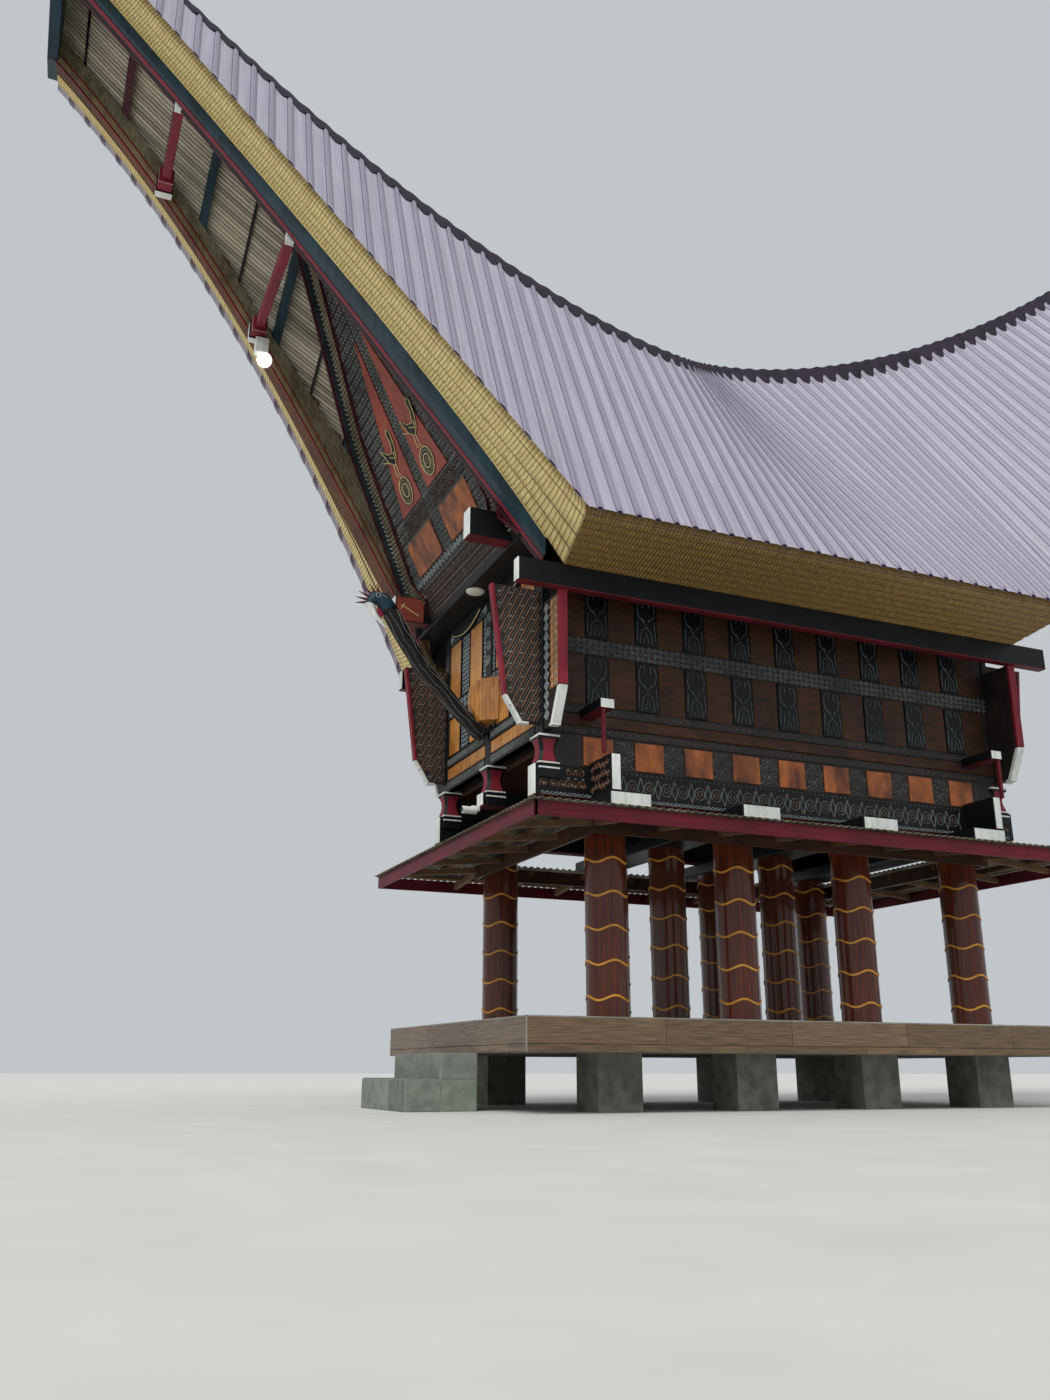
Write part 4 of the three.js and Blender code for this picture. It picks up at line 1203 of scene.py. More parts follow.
def repeat(bm, at, u0, u1, v0, v1, cell, motif, index, wide=0.009, high=0.005, inside=None, turned=True):
    """Fills a rectangle with a motif, in as many whole cells as fit; every other cell is turned round
    unless told not to."""
    columns = max(1, round((u1 - u0) / cell[0]))
    levels = max(1, round((v1 - v0) / cell[1]))
    step_u, step_v = (u1 - u0) / columns, (v1 - v0) / levels
    stamps = []
    for sign in (1, -1):
        small = bmesh.new()
        for points in motif:
            stroke(small, FLAT, [(sign * p * step_u, q * step_v) for p, q in points], wide, high, index)
        stamps.append(new_mesh("stamp", small))
    for i in range(columns):
        for j in range(levels):
            u, v = u0 + (i + 0.5) * step_u, v0 + (j + 0.5) * step_v
            if not inside or inside(u, v):
                place = at.moved(u, v).matrix
                stamp = stamps[(i + j) % 2 if turned else 0]
                stamp.transform(place)
                bm.from_mesh(stamp)
                stamp.transform(place.inverted())
    for stamp in stamps:
        bpy.data.meshes.remove(stamp)


def carved_bar(bm, at, u0, u1, v0, v1, thick, index, cell, motif, line, wide, high=0.005, inset=(0, 0),
               bevel=0.003):
    """A board with a motif repeated over its face."""
    bar(bm, at, u0, u1, v0, v1, 0, thick, index, bevel)
    repeat(bm, at.lifted(thick), u0 + inset[0], u1 - inset[0], v0 + inset[1], v1 - inset[1],
           cell, motif, line, wide, high)


# Gable walls: the store's decorated front and back. Widths count from the middle, heights from the ground.

FACADE_Y = 2.565
WALL_THICK = 0.06
WALL_LOW = 3.09
WALL_HIGH = 4.89
SHELF_LOW = 4.85
SHELF_HALF = 1.43
SHELF_OUT = 0.295
POST_HALF = 0.07
POST_X = (-1.22, 0, 1.22)
POST_CURLS = ((3.45, 3.9), (4.1, 4.7))
CAPITAL_Y = 2.525
CAPITAL_CORNER = 0.028
CAPITAL_LEVELS = ((2.83, 0.089), (2.86, 0.094), (2.9, 0.081), (2.95, 0.073), (3.0, 0.079), (3.05, 0.094))
CAPITAL_PLATES = ((3.05, 3.072, 0.097, black), (3.072, 3.09, 0.101, white),
                  (2.832, 2.846, 0.097, white), (2.812, 2.832, 0.092, black))
CHEEK_FROM_POST = (0.076, 0.099)
CHEEK_HALF = 0.096
FACADE_ROWS = ((3.47, 3.86), (4.04, 4.68))
FACADE_BAY = (0.08, 1.14)
BARE_PANELS = ((0.185, 0.53), (0.8, 1.13))
SLANTED_STRIPS = ((0.085, 0.165), (0.555, 0.775))
FACADE_BANDS = ((3.885, 4.015, (0.11, 0.065), NESTED), (4.7, 4.84, (0.13, 0.13), SCROLL))
TICKED_RAILS = ((3.345, 3.44), (3.1, 3.2))
BARE_RAIL = (3.215, 3.33)
LAMP_PLACE = (0.1, 2.77, 4.845)


def wall_frame(end, y):
    return face_frame((0, end * y, 0), (-end, 0, 0), (0, 0, 1))


def capital(bm, x, end):
    """Waisted block under a post: red faces, dark corners and white lines above and below."""
    middle = Vector((x, end * CAPITAL_Y, 0))

    def ring(z, half):
        near = half - CAPITAL_CORNER
        turns = [Matrix.Rotation(math.pi / 2 * turn, 3, "Z") for turn in range(4)]
        return [middle + turn @ Vector((half, y, 0)) + Vector((0, 0, z))
                for turn in turns for y in (-near, near)]

    small = bmesh.new()
    grid(small, [ring(z, half) for z, half in CAPITAL_LEVELS], closed=True, index=red)
    for face in small.faces:
        face.normal_update()
        if abs(abs(face.normal.x) - abs(face.normal.y)) < 0.4 and abs(face.normal.z) < 0.7:
            face.material_index = black
    absorb(bm, small)
    for z0, z1, half, index in CAPITAL_PLATES:
        block(bm, middle + Vector((-half, -half, z0)), middle + Vector((half, half, z1)), 0.002, index)


def saddle(bm, x, end):
    """Black cheeks with a white line that hold the block on its beam."""
    for side in (-1, 1):
        x0, x1 = sorted(x + side * away for away in CHEEK_FROM_POST)
        for grow, level, bevel, index in ((0, (2.705, 2.812), 0.004, black),
                                          (0.002, (2.785, 2.8), 0.002, white)):
            half = CHEEK_HALF + grow
            block(bm, *corners(0, (x0 - grow, x1 + grow), (end * CAPITAL_Y - half, end * CAPITAL_Y + half),
                               level), bevel, index)


def facade_bay(bm, at, sign):
    """Half the front, from the middle post outwards: bare panels between carved strips, in two rows."""
    for low, high in FACADE_ROWS:
        for panel in BARE_PANELS:
            left, right = mirrored(sign, *panel)
            bar(bm, at, left, right, low, high, 0, 0.012, orange)
            for edge in (left - 0.012, right):
                bar(bm, at, edge, edge + 0.012, low - 0.01, high + 0.01, 0, 0.02, black, 0)
        for part in SLANTED_STRIPS:
            carved_bar(bm, at, *mirrored(sign, *part), low, high, 0.008, slate, (0.036, 0.05), SLANT, chalk,
                       0.009, inset=(0.005, 0))
    left, right = mirrored(sign, *FACADE_BAY)
    for low, high, cell, motif in FACADE_BANDS:
        carved_bar(bm, at, left, right, low, high, 0.014, slate, cell, motif, chalk, 0.01)
    for low, high in TICKED_RAILS:
        carved_bar(bm, at, left, right, low, high, 0.02, carved, (0.03, high - low), TICK, faded,
                   0.013, 0.01, inset=(0, 0.008))
    bar(bm, at, left, right, *BARE_RAIL, 0, 0.016, orange)


def arched_board(bm, at):
    """Board under the shelf whose lower edge is an arch with a thin pale line."""
    for sign in (-1, 1):
        points = [(sign * (1.14 - 1.06 * t), 4.845 - 0.17 * math.sin(math.pi * t) ** 0.8)
                  for t in span(0, 1, 0.1)]
        plate(bm, [at(u, v, 0.02) for u, v in points], at(0, 0, 0.045) - at(0, 0, 0.02), black)
        stroke(bm, at.lifted(0.045), [(u, v + 0.012) for u, v in points[1:-1]], 0.009, 0.006, cream)


WING_OUT = 1.66
WING_TOP = 4.31
WING_FOOT = ((WING_OUT, 3.434), (1.51, 3.134))
WING_REACH = (-0.062, 0.022)
# Carving on a wing: from and to, motif, paint, low and cell
WING_CARVING = ((1.3, 1.4, NESTED, chalk, 3.2, (0.09, 0.09)),
                (1.43, 1.62, BRAID, orange, 3.46, (0.038, 0.075)),
                (1.45, 1.62, SLANT, chalk, 3.46, (0.057, 0.075)))


def wing(bm, at, sign):
    """Side board beyond the corner post: carved, with a red outer edge that ends in a white slanted foot."""
    (high_u, high_v), (low_u, low_v) = WING_FOOT
    back, front = WING_REACH
    outline = [(1.28, WING_TOP), (high_u - 0.004, WING_TOP), (high_u - 0.004, high_v), (low_u - 0.004, low_v),
               (1.28, low_v)]
    plate(bm, [at(sign * u, v, -WALL_THICK) for u, v in outline], at(0, 0, WALL_THICK) - at(0, 0, 0), carved)
    for a, b, motif, paint, low, cell in WING_CARVING:
        repeat(bm, at, *mirrored(sign, a, b), low, 4.28, cell, motif, paint, 0.012, 0.006, turned=False)
    bar(bm, at, *mirrored(sign, high_u - 0.032, high_u), high_v + 0.01, WING_TOP, back, front, red)
    slope = [(high_u, high_v), (high_u - 0.045, high_v), (low_u - 0.045, low_v), (low_u, low_v)]
    plate(bm, [at(sign * u, v, back) for u, v in slope], at(0, 0, front) - at(0, 0, back), white, 0.003)
    bar(bm, at, *mirrored(sign, 1.44, low_u), 3.118, 3.14, back, front, white)


def gable_wall(word, end):
    at = wall_frame(end, FACADE_Y)
    bm = bmesh.new()
    bar(bm, at, -1.28, 1.28, WALL_LOW, SHELF_LOW, -WALL_THICK, 0, carved, 0)
    for sign in (-1, 1):
        facade_bay(bm, at, sign)
        wing(bm, at, sign)
    arched_board(bm, at)
    for x in POST_X:
        bar(bm, at, x - POST_HALF, x + POST_HALF, WALL_LOW, SHELF_LOW, -WALL_THICK, 0.02, black, 0.008)
        for low, high in POST_CURLS if x == 0 else ():
            repeat(bm, at.lifted(0.02), -0.055, 0.055, low, high, (0.11, 0.14), CURL, chalk, 0.009)
        capital(bm, x, end)
        saddle(bm, x, end)
    bar(bm, at, -SHELF_HALF, SHELF_HALF, SHELF_LOW, WALL_HIGH, -WALL_THICK, SHELF_OUT, black, 0.005)
    bar(bm, at, -1.22, 1.22, WALL_LOW, 3.13, -0.165, 0, black, 0)
    dressed(f"gable_wall_{word}", bm, PAINTS)


def ball(radius, levels, centre, flatness=1):
    bm = bmesh.new()
    made = bmesh.ops.create_uvsphere(bm, u_segments=24, v_segments=levels, radius=radius)
    bmesh.ops.scale(bm, verts=made["verts"], vec=(1, 1, flatness))
    bmesh.ops.translate(bm, verts=made["verts"], vec=centre)
    for face in bm.faces:
        face.smooth = True
    return bm


def shelf_lamp(word, end):
    """Flat opal lamp under the shelf."""
    x, y, z = LAMP_PLACE
    piece(f"shelf_lamp_{word}", ball(0.095, 12, (-end * x, end * y, z), 0.32), [LAMP_GLASS])


# Fins: their front edge from the top down, as distance from the middle and height
FIN_FRONT = ((3.062, 4.43), (2.93, 3.414), (2.788, 3.187))
FIN_BACK = 2.586
FIN_EDGE = 0.03
# Carving on a fin: shift to the right, cell, motif, paint, line width, relief, and whether cells alternate
FIN_CARVING = ((0, (0.052, 0.11), BRAID, rust, 0.02, 0.007, False),
               (0.026, (0.052, 0.11), BRAID, faded, 0.006, 0.006, False),
               (0, (0.104, 0.11), DOT, chalk, 0.013, 0.011, True))


def fin_front(z):
    """How far out the front edge is at a height."""
    for (y1, z1), (y0, z0) in zip(FIN_FRONT, FIN_FRONT[1:]):
        if z > z0:
            return y0 + (y1 - y0) * (z - z0) / (z1 - z0)
    return FIN_FRONT[-1][0]


def fin(end, node):
    """Carved board out from the corner post, red down its front and white at its cut-back foot."""
    low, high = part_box(node)
    top, foot = FIN_FRONT[0][1], FIN_FRONT[-1][1]
    outline = [*FIN_FRONT, (FIN_BACK, foot), (FIN_BACK, top)]
    bm = bmesh.new()
    through = Vector((high.x - low.x, 0, 0))
    plate(bm, [Vector((low.x, end * y, z)) for y, z in outline], through, carved, 0.003)
    inward = Vector((0, -end * FIN_EDGE, 0))
    for index, ends in ((red, FIN_FRONT[:2]), (white, FIN_FRONT[1:])):
        start, stop = (Vector((low.x - 0.006, end * (y + 0.002), z)) for y, z in ends)
        plate(bm, [start, stop, stop + inward, start + inward], through + Vector((0.012, 0, 0)), index, 0.003)
    block(bm, *corners(0, (low.x - 0.004, high.x + 0.004), (end * 2.7, end * 2.79), (3.172, 3.19)),
          0.002, white)
    for x, flip in ((low.x, -end), (high.x, end)):
        at = face_frame((x, 0, 0), (0, flip * end, 0), (0, 0, 1))

        def inside(u, v, f=flip):
            return 2.6 < u * f < fin_front(v) - 0.045

        u0, u1 = mirrored(flip, 2.6, 3.04)
        for shift, *carving, turned in FIN_CARVING:
            repeat(bm, at, u0 + shift, u1 + shift, 3.2, 4.42, *carving, inside, turned)
    dressed(node, bm, PAINTS)


# Bird's head and neck on the front, with the bare block over its foot

# The neck's line from the wall out and round to the beak: y, z, half width and half depth
NECK = ((-2.628, 3.385, 0.06, 0.06), (-2.7, 3.45, 0.075, 0.075), (-2.87, 3.6, 0.07, 0.07),
        (-3.08, 3.83, 0.065, 0.068), (-3.24, 3.97, 0.066, 0.076), (-3.36, 4.15, 0.066, 0.078),
        (-3.48, 4.32, 0.068, 0.08), (-3.62, 4.56, 0.074, 0.082), (-3.69, 4.64, 0.084, 0.08),
        (-3.77, 4.65, 0.074, 0.07), (-3.82, 4.58, 0.046, 0.046), (-3.76, 4.48, 0.028, 0.028),
        (-3.65, 4.37, 0.008, 0.009))
HEAD_FROM = 7
BEAK_FROM = 10
NECK_CORDS = 16
CORD_STEPS = 6
COMB = ((-3.72, 4.712), (-3.765, 4.712), (-3.805, 4.69), (-3.835, 4.66), (-3.855, 4.625), (-3.863, 4.59))
COMB_LONG = 0.11
WATTLE = ((-3.735, 4.6), (-3.695, 4.56), (-3.665, 4.5), (-3.69, 4.45), (-3.735, 4.5))
EYE_PLACE = (0.078, -3.75, 4.655)


def neck_cord(points, turn):
    """A raised line along the neck, at a share of a turn round it."""
    ribbon = []
    for k in range(1, HEAD_FROM * CORD_STEPS):
        i, f = k // CORD_STEPS, k % CORD_STEPS / CORD_STEPS
        wide, deep = (NECK[i][n] + (NECK[i + 1][n] - NECK[i][n]) * f for n in (2, 3))
        along = (points[i + 1] - points[i]).normalized()
        across = Vector((0, -along.z, along.y))
        angle = 2 * math.pi * turn + 0.12 * math.sin(k * 0.9 + 40 * turn)
        out_x, out_up = Vector((math.cos(angle), 0, 0)), across * math.sin(angle)
        outward = out_x + out_up
        centre = points[i].lerp(points[i + 1], f) + out_x * wide + out_up * deep
        sideways = outward.cross(along) * 0.006
        inner = centre - outward * 0.004
        ribbon.append([inner - sideways, centre + outward * 0.006, inner + sideways])
    return ribbon


def katik():
    """Long carved neck with raised cords, and a dark head with red comb, red wattle and a pale beak."""
    bm = bmesh.new()
    rings = []
    points = [Vector((0, y, z)) for y, z, _, _ in NECK]
    for k, (_, _, wide, deep) in enumerate(NECK):
        along = (points[min(k + 1, len(points) - 1)] - points[max(k - 1, 0)]).normalized()
        across = Vector((0, -along.z, along.y))
        rings.append([points[k] + Vector((wide * math.cos(t), 0, 0)) + across * deep * math.sin(t)
                      for t in span(0, 2 * math.pi, math.pi / 12)[:-1]])
    grid(bm, rings[:HEAD_FROM + 1], closed=True, index=black)
    grid(bm, rings[HEAD_FROM:BEAK_FROM + 1], closed=True, index=teal)
    grid(bm, rings[BEAK_FROM:], closed=True, index=white)
    for cord in range(NECK_CORDS):
        grid(bm, neck_cord(points, cord / NECK_CORDS), closed=True, index=faded if cord % 2 else plank)
    eye_x, eye_y, eye_z = EYE_PLACE
    for sign in (-1, 1):
        at = face_frame((sign * eye_x, eye_y, eye_z), (0, sign, 0), (0, 0, 1))
        stroke(bm, at, arc(0, 1, 0.022, 0.022, 10), 0.01, 0.008, chalk)
        stroke(bm, at, [(0.03 * sign, 0.012), (0.06 * sign, 0.0), (0.085 * sign, -0.02)], 0.01, 0.01, chalk)
    for k, (y, z) in enumerate(COMB):
        turn = math.radians(110 + 16 * k)
        out = Vector((0, math.cos(turn), math.sin(turn)))
        root = Vector((-0.008, y, z)) - out * 0.015
        side = Vector((0, out.z, -out.y)) * 0.013
        plate(bm, [root - side, root + side, root + out * COMB_LONG], Vector((0.016, 0, 0)), dark_red, 0.001)
    plate(bm, [Vector((-0.01, y, z)) for y, z in WATTLE], Vector((0.02, 0, 0)), red, 0.003)
    dressed("katik", bm, PAINTS, smooth=35)


# The block from the wall out: y, half width, low and high
BLOCK_SECTIONS = ((-2.586, 0.28, 3.5, 3.93), (-2.722, 0.155, 3.51, 3.925), (-2.785, 0.02, 3.69, 3.77))


def kabongo():
    """Plain buffalo-head block: wide at the wall, with a blunt wedge in front."""
    bm = bmesh.new()
    grid(bm, [[Vector((x, y, z)) for x, z in ((-half, low), (half, low), (half, high), (-half, high))]
              for y, half, low, high in BLOCK_SECTIONS], closed=True)
    dressed("kabongo", bm, [ORANGE])


# Side walls

WALL_X = 1.28
WALL_LONG = 2.5
BEAM_FACE_X = 1.305
PANEL_PITCH = 0.51
BUFFALO_HALF = 0.11
BUFFALO_ROWS = ((3.405, 3.875), (4.045, 4.52))
SIDE_BANDS = ((3.13, 3.2, (0.075, 0.07), DOT), (3.32, 3.39, (0.075, 0.07), DOT),
              (3.885, 4.035, (0.06, 0.05), NESTED))
BLOTCHED_PANEL = (0.145, 2.85, 3.11)
BLOTCHED_REACH = 2.06
# Rows along the base beam: half length, low, high, cell, motif, paint, line width and relief
BEAM_ROWS = ((1.98, 2.6, 2.79, (0.17, 0.19), OVAL, faded, 0.012, 0.006),
             (1.98, 2.6, 2.79, (0.17, 0.19), LATTICE, plank, 0.01, 0.005),
             (2.0, 2.798, 2.826, (0.05, 0.028), DOT, faded, 0.012, 0.005),
             (2.6, 2.556, 2.59, (0.042, 0.034), BEAD, chalk, 0.008, 0.005))
# Curls and dots at the beam's ends: outer end, high, cell, motif, paint, line width and relief
BEAM_END_ROWS = ((2.38, 2.82, (0.105, 0.105), CURL, rust, 0.012, 0.008),
                 (2.38, 2.82, (0.07, 0.07), DOT, chalk, 0.014, 0.009),
                 (2.62, 2.7, (0.09, 0.09), CURL, rust, 0.012, 0.007),
                 (2.62, 2.7, (0.09, 0.09), DOT, chalk, 0.016, 0.009))
CROSS_BEAM_FIELDS = ((-1.66, -1.32), (-1.14, -0.09), (0.09, 1.14), (1.32, 1.66))
TIE_Y = 2.155
TIE_HALF = 0.0675


def wall_rows(bm, at):
    """Carved bands along the wall, and between them buffalo heads with plain boards from one to the next."""
    for low, high, cell, motif in SIDE_BANDS:
        carved_bar(bm, at, -WALL_LONG, WALL_LONG, low, high, 0.012, carved, cell, motif, faded, 0.009, 0.006,
                   bevel=0.002)
    # The bare band and the plain boards between buffalo heads take the dark brown plank: painted shade, for
    # orange boards in the roof's shade.
    bar(bm, at, -WALL_LONG, WALL_LONG, 3.21, 3.31, 0, 0.016, plank, 0.003)
    for low, high in BUFFALO_ROWS:
        for k in range(-4, 6):
            u = (k - 0.5) * PANEL_PITCH
            half = PANEL_PITCH / 2 - BUFFALO_HALF - 0.01
            bar(bm, at, u - half, u + half, low, high, 0, 0.008, plank)
        for k in range(-4, 5):
            u = k * PANEL_PITCH
            carved_bar(bm, at, u - BUFFALO_HALF, u + BUFFALO_HALF, low, high, 0.018, black,
                       (0.22, 0.47), BUFFALO, faded, 0.008, 0.007, inset=(0, 0.01))


def wall_foot(bm, at):
    """Bare panels low on the wall, with key carving between them."""
    half, low, high = BLOTCHED_PANEL
    for k in range(-4, 5):
        u = k * PANEL_PITCH
        if abs(u) < BLOTCHED_REACH:
            # The low panels take the darker blotched meranti: painted shade for the roof's shade over the
            # side wall, on top of the rain blotches.
            bar(bm, at, u - half, u + half, low, high, 0, 0.014, blotched)
            if k < 4:
                middle = u + PANEL_PITCH / 2
                repeat(bm, at, middle - 0.1, middle + 0.1, low + 0.01, high - 0.01, (0.1, 0.08), KEY, faded,
                       0.009)


def small_tie(bm, side, sign):
    """End of a tie through the wall, with a red stick from it down to the beam."""
    block(bm, *corners(0, (side * WALL_X, side * 1.7), (sign * (TIE_Y - TIE_HALF), sign * (TIE_Y + TIE_HALF)),
                       (3.26, 3.35)), 0.006, end_paint(0, black, white, dark_red))
    block(bm, *corners(0, (side * 1.66, side * 1.695), (sign * 2.17, sign * 2.2), (2.873, 3.26)),
          0.003, dark_red)


def side_wall(word, side):
    """Rows of plain boards and carved strips over the carved base beam."""
    at = face_frame((side * WALL_X, 0, 0), (0, side, 0), (0, 0, 1))
    bm = bmesh.new()
    bar(bm, at, -WALL_LONG, WALL_LONG, 2.83, WALL_HIGH, -WALL_THICK, 0, carved, 0)
    wall_rows(bm, at)
    wall_foot(bm, at)
    at = face_frame((side * BEAM_FACE_X, 0, 0), (0, side, 0), (0, 0, 1))
    for half, *row in BEAM_ROWS:
        repeat(bm, at, -half, half, *row)
    for sign in (-1, 1):
        for outer, *row in BEAM_END_ROWS:
            repeat(bm, at, *mirrored(sign, 2.17, outer), 2.61, *row)
        small_tie(bm, side, sign)
    dressed(f"side_wall_{word}", bm, PAINTS)


def tall_cross_beam(word, end):
    """Beam on edge under the store floor, carved on its outer face, with white ends."""
    node = f"tall_cross_beam_{word}"
    low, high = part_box(node)
    bm = bmesh.new()
    block(bm, low, high, 0.006, end_paint(0, black, white, dark_red))
    at = wall_frame(end, max(abs(low.y), abs(high.y)))
    for a, b in CROSS_BEAM_FIELDS:
        repeat(bm, at, a, b, 2.58, 2.85, (0.13, 0.09), SCROLL, rust, 0.012, 0.007)
        repeat(bm, at, a, b, 2.58, 2.85, (0.065, 0.09), DOT, chalk, 0.014, 0.008)
    dressed(node, bm, PAINTS)


# Leaning gable panel: heights over the ground are turned into distances up the panel

PANEL_FOOT = (2.82, 4.891)
PANEL_SLOPE = 2.1
UP_SLOPE = math.hypot(1, 1 / PANEL_SLOPE)
PANEL_THICK = 0.05
FIELD_LOW = 5.3
BRICK_LOW = 5.88
BRICK_TOP = 7.5
# Strips down the panel's edges: from where to where, inwards from the edge, relief and paint
EDGE_STRIPS = ((-0.01, 0.035, 0.07, maroon), (0.035, 0.065, 0.05, slate), (0.305, 0.32, 0.03, maroon))
# Bands across the foot: low, high, cell, motif, paint, line width and relief
FOOT_BANDS = ((4.95, 5.24, (0.05, 0.048), DOT, chalk, 0.012, 0.006),
              (4.97, 5.22, (0.075, 0.07), CURL, plank, 0.012, 0.006),
              (5.25, 5.32, (0.09, 0.08), NESTED, chalk, 0.011, 0.006),
              (5.69, 5.85, (0.13, 0.085), SCROLL, plank, 0.012, 0.006),
              (5.69, 5.85, (0.065, 0.08), DOT, chalk, 0.012, 0.006),
              (5.661, 5.689, (0.05, 0.03), DOT, chalk, 0.014, 0.005),
              (5.851, 5.879, (0.05, 0.03), DOT, chalk, 0.014, 0.005))


def up_to(z):
    return (z - PANEL_FOOT[1]) * UP_SLOPE


def field_half(v):
    """Half width of the brick-red field at a distance up the panel."""
    return 0.68 - 0.352 * (v / UP_SLOPE + PANEL_FOOT[1] - BRICK_LOW)


def panel_half(node, at):
    """Half width of the panel by the distance up it, from the frame's own outline, and that outline's top."""
    inverse = at.matrix.inverted()
    widths = {}
    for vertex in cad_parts[node].data.vertices:
        u, v, w = inverse @ vertex.co
        if abs(w) < 0.004 and u > -0.001:
            key = round(v, 3)
            widths[key] = max(widths.get(key, 0), u)
    edges = [(v, u) for v, u in sorted(widths.items()) if u > 0.5 or v > 4.6]

    def half(v):
        for (v0, u0), (v1, u1) in zip(edges, edges[1:]):
            if v0 <= v <= v1:
                return u0 + (u1 - u0) * (v - v0) / max(v1 - v0, 1e-6)
        return edges[0][1] if v < edges[0][0] else 0.0

    return half, edges[-1][0]


def panel_edge(bm, at, sign, half, top):
    """Maroon and slate strips down the edge, with a row of split bamboo and a row of ticks between them."""
    for near, far, relief, index in EDGE_STRIPS:
        rings = []
        for v in span(0.0, top - 0.9, 0.25):
            a, b = sign * (half(v) - near), sign * (half(v) - far)
            rings.append([at(a, v), at(b, v), at(b, v, relief), at(a, v, relief)])
        grid(bm, rings, closed=True, index=index)
    for v in span(0.12, top - 1.1, 0.044):
        if half(v) < 0.36:
            break
        stroke(bm, at, [(sign * (half(v) - 0.3), v - 0.004), (sign * (half(v) - 0.1), v + 0.004)],
               0.03, 0.018, straw)
    for v in span(0.1, top - 1.2, 0.05):
        stroke(bm, at, [(sign * (half(v) - 0.094), v - 0.014), (sign * (half(v) - 0.07), v + 0.014)],
               0.012, 0.02, chalk)


def panel_field(bm, at, sign, half):
    """Half the field: dots and curls, a brick-red wedge with its sun and rooster, and a bare panel."""
    def between(u, v):
        return max(field_half(v), 0.1) + 0.03 < sign * u < half(v) - 0.35

    reach = (*mirrored(sign, 0, 1.4), up_to(FIELD_LOW), up_to(8.8))
    repeat(bm, at, *reach, (0.055, 0.055), DOT, chalk, 0.013, 0.008, between)
    repeat(bm, at, *reach, (0.11, 0.11), CURL, faded, 0.01, 0.005, between)
    rings = []
    for v in span(up_to(BRICK_LOW), up_to(BRICK_TOP), 0.2):
        a, b = sign * 0.105, sign * max(field_half(v), 0.108)
        rings.append([at(a, v), at(b, v), at(b, v, 0.012), at(a, v, 0.012)])
    grid(bm, rings, closed=True, index=brick)
    sun_disc(bm, at.moved(sign * 0.34, up_to(6.05), 0.012))
    rooster(bm, at.moved(sign * 0.33, up_to(6.36), 0.012))
    bar(bm, at, *mirrored(sign, 0.14, 0.86), up_to(5.33), up_to(5.66), 0, 0.014, blotched)


def gable_panel(word, end):
    node = f"gable_panel_{word}"
    foot_y, foot_z = PANEL_FOOT
    at = face_frame((0, end * foot_y, foot_z), (-end, 0, 0), (0, end / PANEL_SLOPE, 1))
    half, top = panel_half(node, at)
    outline = [(half(v), v) for v in span(0, top - 0.25, 0.25)] + [(0.0, top - 0.05)]
    outline += [(-u, v) for u, v in reversed(outline) if u > 0]
    bm = bmesh.new()
    plate(bm, [at(u, v, -PANEL_THICK) for u, v in outline], at(0, 0, PANEL_THICK) - at(0, 0, 0), carved)
    for sign in (-1, 1):
        panel_edge(bm, at, sign, half, top)
        panel_field(bm, at, sign, half)
    repeat(bm, at, -0.09, 0.09, up_to(FIELD_LOW), up_to(8.6), (0.09, 0.1), NESTED, faded, 0.01, 0.006)
    repeat(bm, at, -0.1, 0.1, up_to(FIELD_LOW), up_to(8.6), (0.067, 0.05), DOT, chalk, 0.012, 0.008)
    for low, high, *carving in FOOT_BANDS:
        reach = half(up_to((low + high) / 2)) - 0.36
        repeat(bm, at, -reach, reach, up_to(low), up_to(high), *carving)
    dressed(node, bm, PAINTS)


def sun_disc(bm, at):
    """Round sun sign: rings with short rays, pale on a dark ground."""
    circle = [at(0.15 * math.cos(t), 0.15 * math.sin(t)) for t in span(0, 2 * math.pi, math.pi / 12)[:-1]]
    plate(bm, circle, at(0, 0, 0.008) - at(0, 0, 0), black)
    raised = at.lifted(0.008)
    for radius, paint in ((0.142, cream), (0.105, straw), (0.07, cream), (0.03, straw)):
        stroke(bm, raised, arc(0, 1, radius, radius, 20), 0.012, 0.006, paint)
    for k in range(16):
        angle = 2 * math.pi * k / 16
        ray = [(r * math.cos(angle), r * math.sin(angle)) for r in (0.112, 0.136)]
        stroke(bm, raised, ray, 0.01, 0.005, straw)


ROOSTER_BODY = ((-0.11, 0.02), (-0.2, 0.2), (-0.13, 0.15), (-0.08, 0.1), (0.04, 0.06), (0.09, 0.16),
                (0.07, 0.25), (0.11, 0.3), (0.16, 0.25), (0.15, 0.12), (0.1, 0.0), (0.0, -0.06))
# Tail feather, two legs and the wing
ROOSTER_LINES = ([(-0.11, 0.02), (-0.24, 0.08)], [(0.02, -0.05), (0.0, -0.17), (0.05, -0.19)],
                 [(-0.04, -0.04), (-0.06, -0.16), (-0.01, -0.18)], [(-0.06, 0.06), (0.05, 0.0), (0.08, 0.06)])


def rooster(bm, at):
    """Traditional rooster that stands on the sun sign: dark body, pale outline, tail and legs."""
    plate(bm, [at(u, v) for u, v in ROOSTER_BODY], at(0, 0, 0.01) - at(0, 0, 0), black)
    raised = at.lifted(0.01)
    stroke(bm, raised, [*ROOSTER_BODY, ROOSTER_BODY[0]], 0.009, 0.006, cream)
    for points in ROOSTER_LINES:
        stroke(bm, raised, points, 0.01, 0.006, cream)


# Ties across the rakes, lamp, beam ends and watch camera

